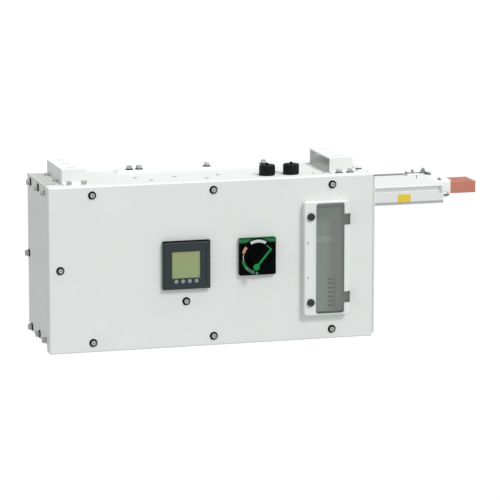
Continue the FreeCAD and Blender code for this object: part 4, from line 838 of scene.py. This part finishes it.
def slot_shades(mesh):
    """Black sheets that paint the shade in the slots between the ribs of the blanking strip, and along their
    right ends.
    """
    place, pitch = facing("front", 0, STRIP_FACE, 0), 9
    for number in range(7):
        high = -47 - pitch * number
        slab(mesh, place, bar(245.4, high - 3.6, 259.4, high), SUNK, 0.3)
    slab(mesh, place, bar(259.2, -107.9, 260.6, -45), SUNK, 0.3)


def module_edge(mesh):
    """The bright rounded upper end of the blanking strip."""
    slab(mesh, facing("front", 0, STRIP_FACE, 0), bar(215.4, 27, 260, 39), SUNK, 0.8)


def build_pieces():
    """Every drawn piece: its name, body and material, how it is drawn and what it stands for."""
    make("screw_heads", "door", zinc_plate, screw_heads, stands_for=["door_screws"])
    make("sealing_washers", "door", black_rubber, sealing_washers, stands_for=["door_screw_seals"])
    make("side_screw_heads", "casing", zinc_plate, side_screw_heads, stands_for=["side_panel_screws"])
    make("side_screw_washers", "casing", black_rubber, side_screw_washers)
    make("roof_bolt_heads", "casing", zinc_plate, bolt_heads, stands_for=["roof_bolts"])
    make("roof_bolt_washers", "casing", black_rubber, bolt_washers)
    make("ribbed_caps", "casing", black_nylon, gland_caps, stands_for=["gland_caps"])
    make("roof_rivets", "casing", zinc_plate, roof_rivets)
    make("rail_edge", "casing", sprayed_steel, rail_edge)
    make("lip_seal", "casing", cast_resin, lip_seal)
    make("foot_shade", "casing", painted_shade_pale, foot_shade)
    make("corner_boss", "casing", sprayed_steel, corner_boss)
    make("corner_washer", "casing", black_rubber, corner_washer)
    make("rear_edge_strip", "casing", grey_rear_strip, rear_edge_strip, bevel=0.6)
    make("clamp_parts", "casing", galvanised, clamp_parts, bevel=0.3)
    make("groove_end_shade", "casing", painted_shade_dark, groove_end_shade, bevel=0.2)
    make("groove_shade", "casing", painted_shade_grey, groove_shade)
    make("sill_shade", "casing", painted_shade_dark, sill_shade)
    make("block_screw", "casing", galvanised, block_screw)
    make("end_sleeve", "casing", cast_resin, end_sleeve)
    make("stub_bolts", "casing", galvanised, stub_bolts, stands_for=["trunking_bolts"])
    make("stub_label", "casing", yellow_film, stub_label)
    make("dial_ring", "door", handle_nylon, dial, stands_for=["handle_dial"])
    make("printed_white_arc", "door", white_ink, printed(29.4, 35.2, 60.5, 118))
    make("printed_orange_arc", "door", orange_ink, printed(28.6, 34.4, 139, 163.5))
    make("printed_thin_arc", "door", white_ink, printed(29.8, 31, 166.5, 192))
    make("printed_green_arc", "door", green_ink, printed(28.4, 34.6, 192, 218))
    make("printed_pale_arc", "door", pale_green_ink, printed(28.4, 34.6, 218, 256))
    make("printed_dot", "door", pale_green_ink, light_dot)
    make("green_band", "door", green_ink, handle_band)
    make("band_edge", "door", handle_nylon, band_edge)
    make("grip_ridge", "handle", green_nylon, grip_ridge, bevel=0.3)
    make("screen_border", "door", border_film, screen_border)
    make("screen_shade", "door", slate_moulding, screen_shade)
    make("bezel_lip", "door", black_top_sheet, bezel_lip)
    make("bezel_step_shade", "door", black_nylon, bezel_step_shade)
    for number in range(4):
        make(f"key_top_{number + 1}", f"meter_key_{number + 1}", key_silicone, key_top(number),
             stands_for=[f"meter_button_{number + 1}"])
    make("latch_knob_upper", "latch_upper", latch_nylon, latch(LATCH_UP), stands_for=["window_latch_upper"])
    make("latch_knob_lower", "latch_lower", latch_nylon, latch(-LATCH_UP), stands_for=["window_latch_lower"])
    make("window_dimples", "window_flap", galvanised, window_dimples)
    make("corner_webs", "window_flap", white_moulding, corner_webs)
    make("rail_step_shade", "window_flap", painted_shade_grey, rail_step_shade)
    make("slot_shades", "casing", black_rubber, slot_shades)
    make("module_edge", "casing", cast_resin, module_edge, bevel=0.4)


# Studio

# Lamps as (direction of the light, strength, angular size in degrees): a key light from the upper right
# that draws the short soft shadows, and wide lights from the front, from the upper left and from the top.
LAMPS = {
    "key_softbox": ((-0.325, 0.645, -0.69), 1.4, 13),
    "front_softbox": ((-0.3, 0.85, -0.2), 0.4, 60),
    "side_softbox": ((0.85, 0.25, -0.45), 0.4, 50),
    "top_softbox": ((-0.35, -0.05, -1), 1.5, 34),
}
# The world's strength where it lights the object.
WORLD_LIGHT = 0.47
# The floor's half width and its height in the frame's metres, and what lifts it to white for the camera.
FLOOR_REACH = 30
FLOOR_HEIGHT = -1.25
FLOOR_LIFT = 0.45
# The photo's viewpoint, found from the box's straight edges: the camera's place in the frame's metres, its
# angles in degrees, and its lens and sensor in millimetres.
CAMERA_PLACE = (-1.62165, -6.06406, 0.98484)
YAW, PITCH, ROLL = 15.9023, 10.5897, 0.0252
LENS = 227.524
SENSOR = 36


def seen_directly(tree):
    """One where the camera looks, straight or through the pane, and nought elsewhere."""
    rays = node(tree, "LightPath")
    return node(tree, "Math", {0: rays["Is Camera Ray"], 1: rays["Is Transmission Ray"]},
                operation="MAXIMUM")[0]


def floor():
    """A pale floor far under the hung box; straight to the camera it is lifted to white."""
    material, tree, shader = new_material("white_studio_paper", 0.9)
    shader.inputs["Base Color"].default_value = linear("#b4b4b4")
    lift = node(tree, "Emission", {"Color": linear("#ffffff"), "Strength": FLOOR_LIFT})["Emission"]
    both = node(tree, "AddShader", {0: shader.outputs["BSDF"], 1: lift})["Shader"]
    mixed = node(tree, "MixShader", {0: seen_directly(tree), 1: shader.outputs["BSDF"], 2: both})["Shader"]
    tree.links.new(mixed, tree.nodes["Material Output"].inputs["Surface"])
    mesh = bmesh.new()
    square = bar(-FLOOR_REACH, -FLOOR_REACH, FLOOR_REACH, FLOOR_REACH)
    mesh.faces.new(corners(mesh, Matrix.Identity(4), FLOOR_HEIGHT, square))
    linked(mesh, "studio_floor", material)


def world():
    """Even grey light all round, white where the camera looks straight at it or through the pane."""
    scene = bpy.context.scene
    scene.world = bpy.data.worlds.new("studio_light")
    scene.world.use_nodes = True
    tree = scene.world.node_tree
    strength = node(tree, "MapRange", {"Value": seen_directly(tree), "To Min": WORLD_LIGHT,
                                       "To Max": 1.0})["Result"]
    background = tree.nodes["Background"]
    background.inputs["Color"].default_value = linear("#ffffff")
    tree.links.new(strength, background.inputs["Strength"])


def lamps():
    """The soft lamps, each shining along its direction."""
    for name, (direction, strength, softness) in LAMPS.items():
        lamp = bpy.data.lights.new(name, "SUN")
        lamp.energy = strength
        lamp.angle = radians(softness)
        holder = bpy.data.objects.new(name, lamp)
        holder.rotation_euler = Vector(direction).to_track_quat("-Z", "Y").to_euler()
        bpy.context.scene.collection.objects.link(holder)


def camera():
    """The camera at the photo's viewpoint."""
    lens = bpy.data.cameras.new("camera")
    lens.lens = LENS
    lens.sensor_width = SENSOR
    lens.clip_end = 100
    holder = bpy.data.objects.new("camera", lens)
    turn = Matrix.Rotation(radians(-YAW), 4, "Z") @ Matrix.Rotation(radians(90 - PITCH), 4, "X")
    turn = turn @ Matrix.Rotation(radians(ROLL), 4, "Z")
    holder.matrix_world = Matrix.Translation(CAMERA_PLACE) @ turn
    bpy.context.scene.collection.objects.link(holder)
    bpy.context.scene.camera = holder


dress_frame()
build_pieces()
floor()
world()
lamps()
camera()
bpy.context.scene.view_settings.view_transform = "Standard"
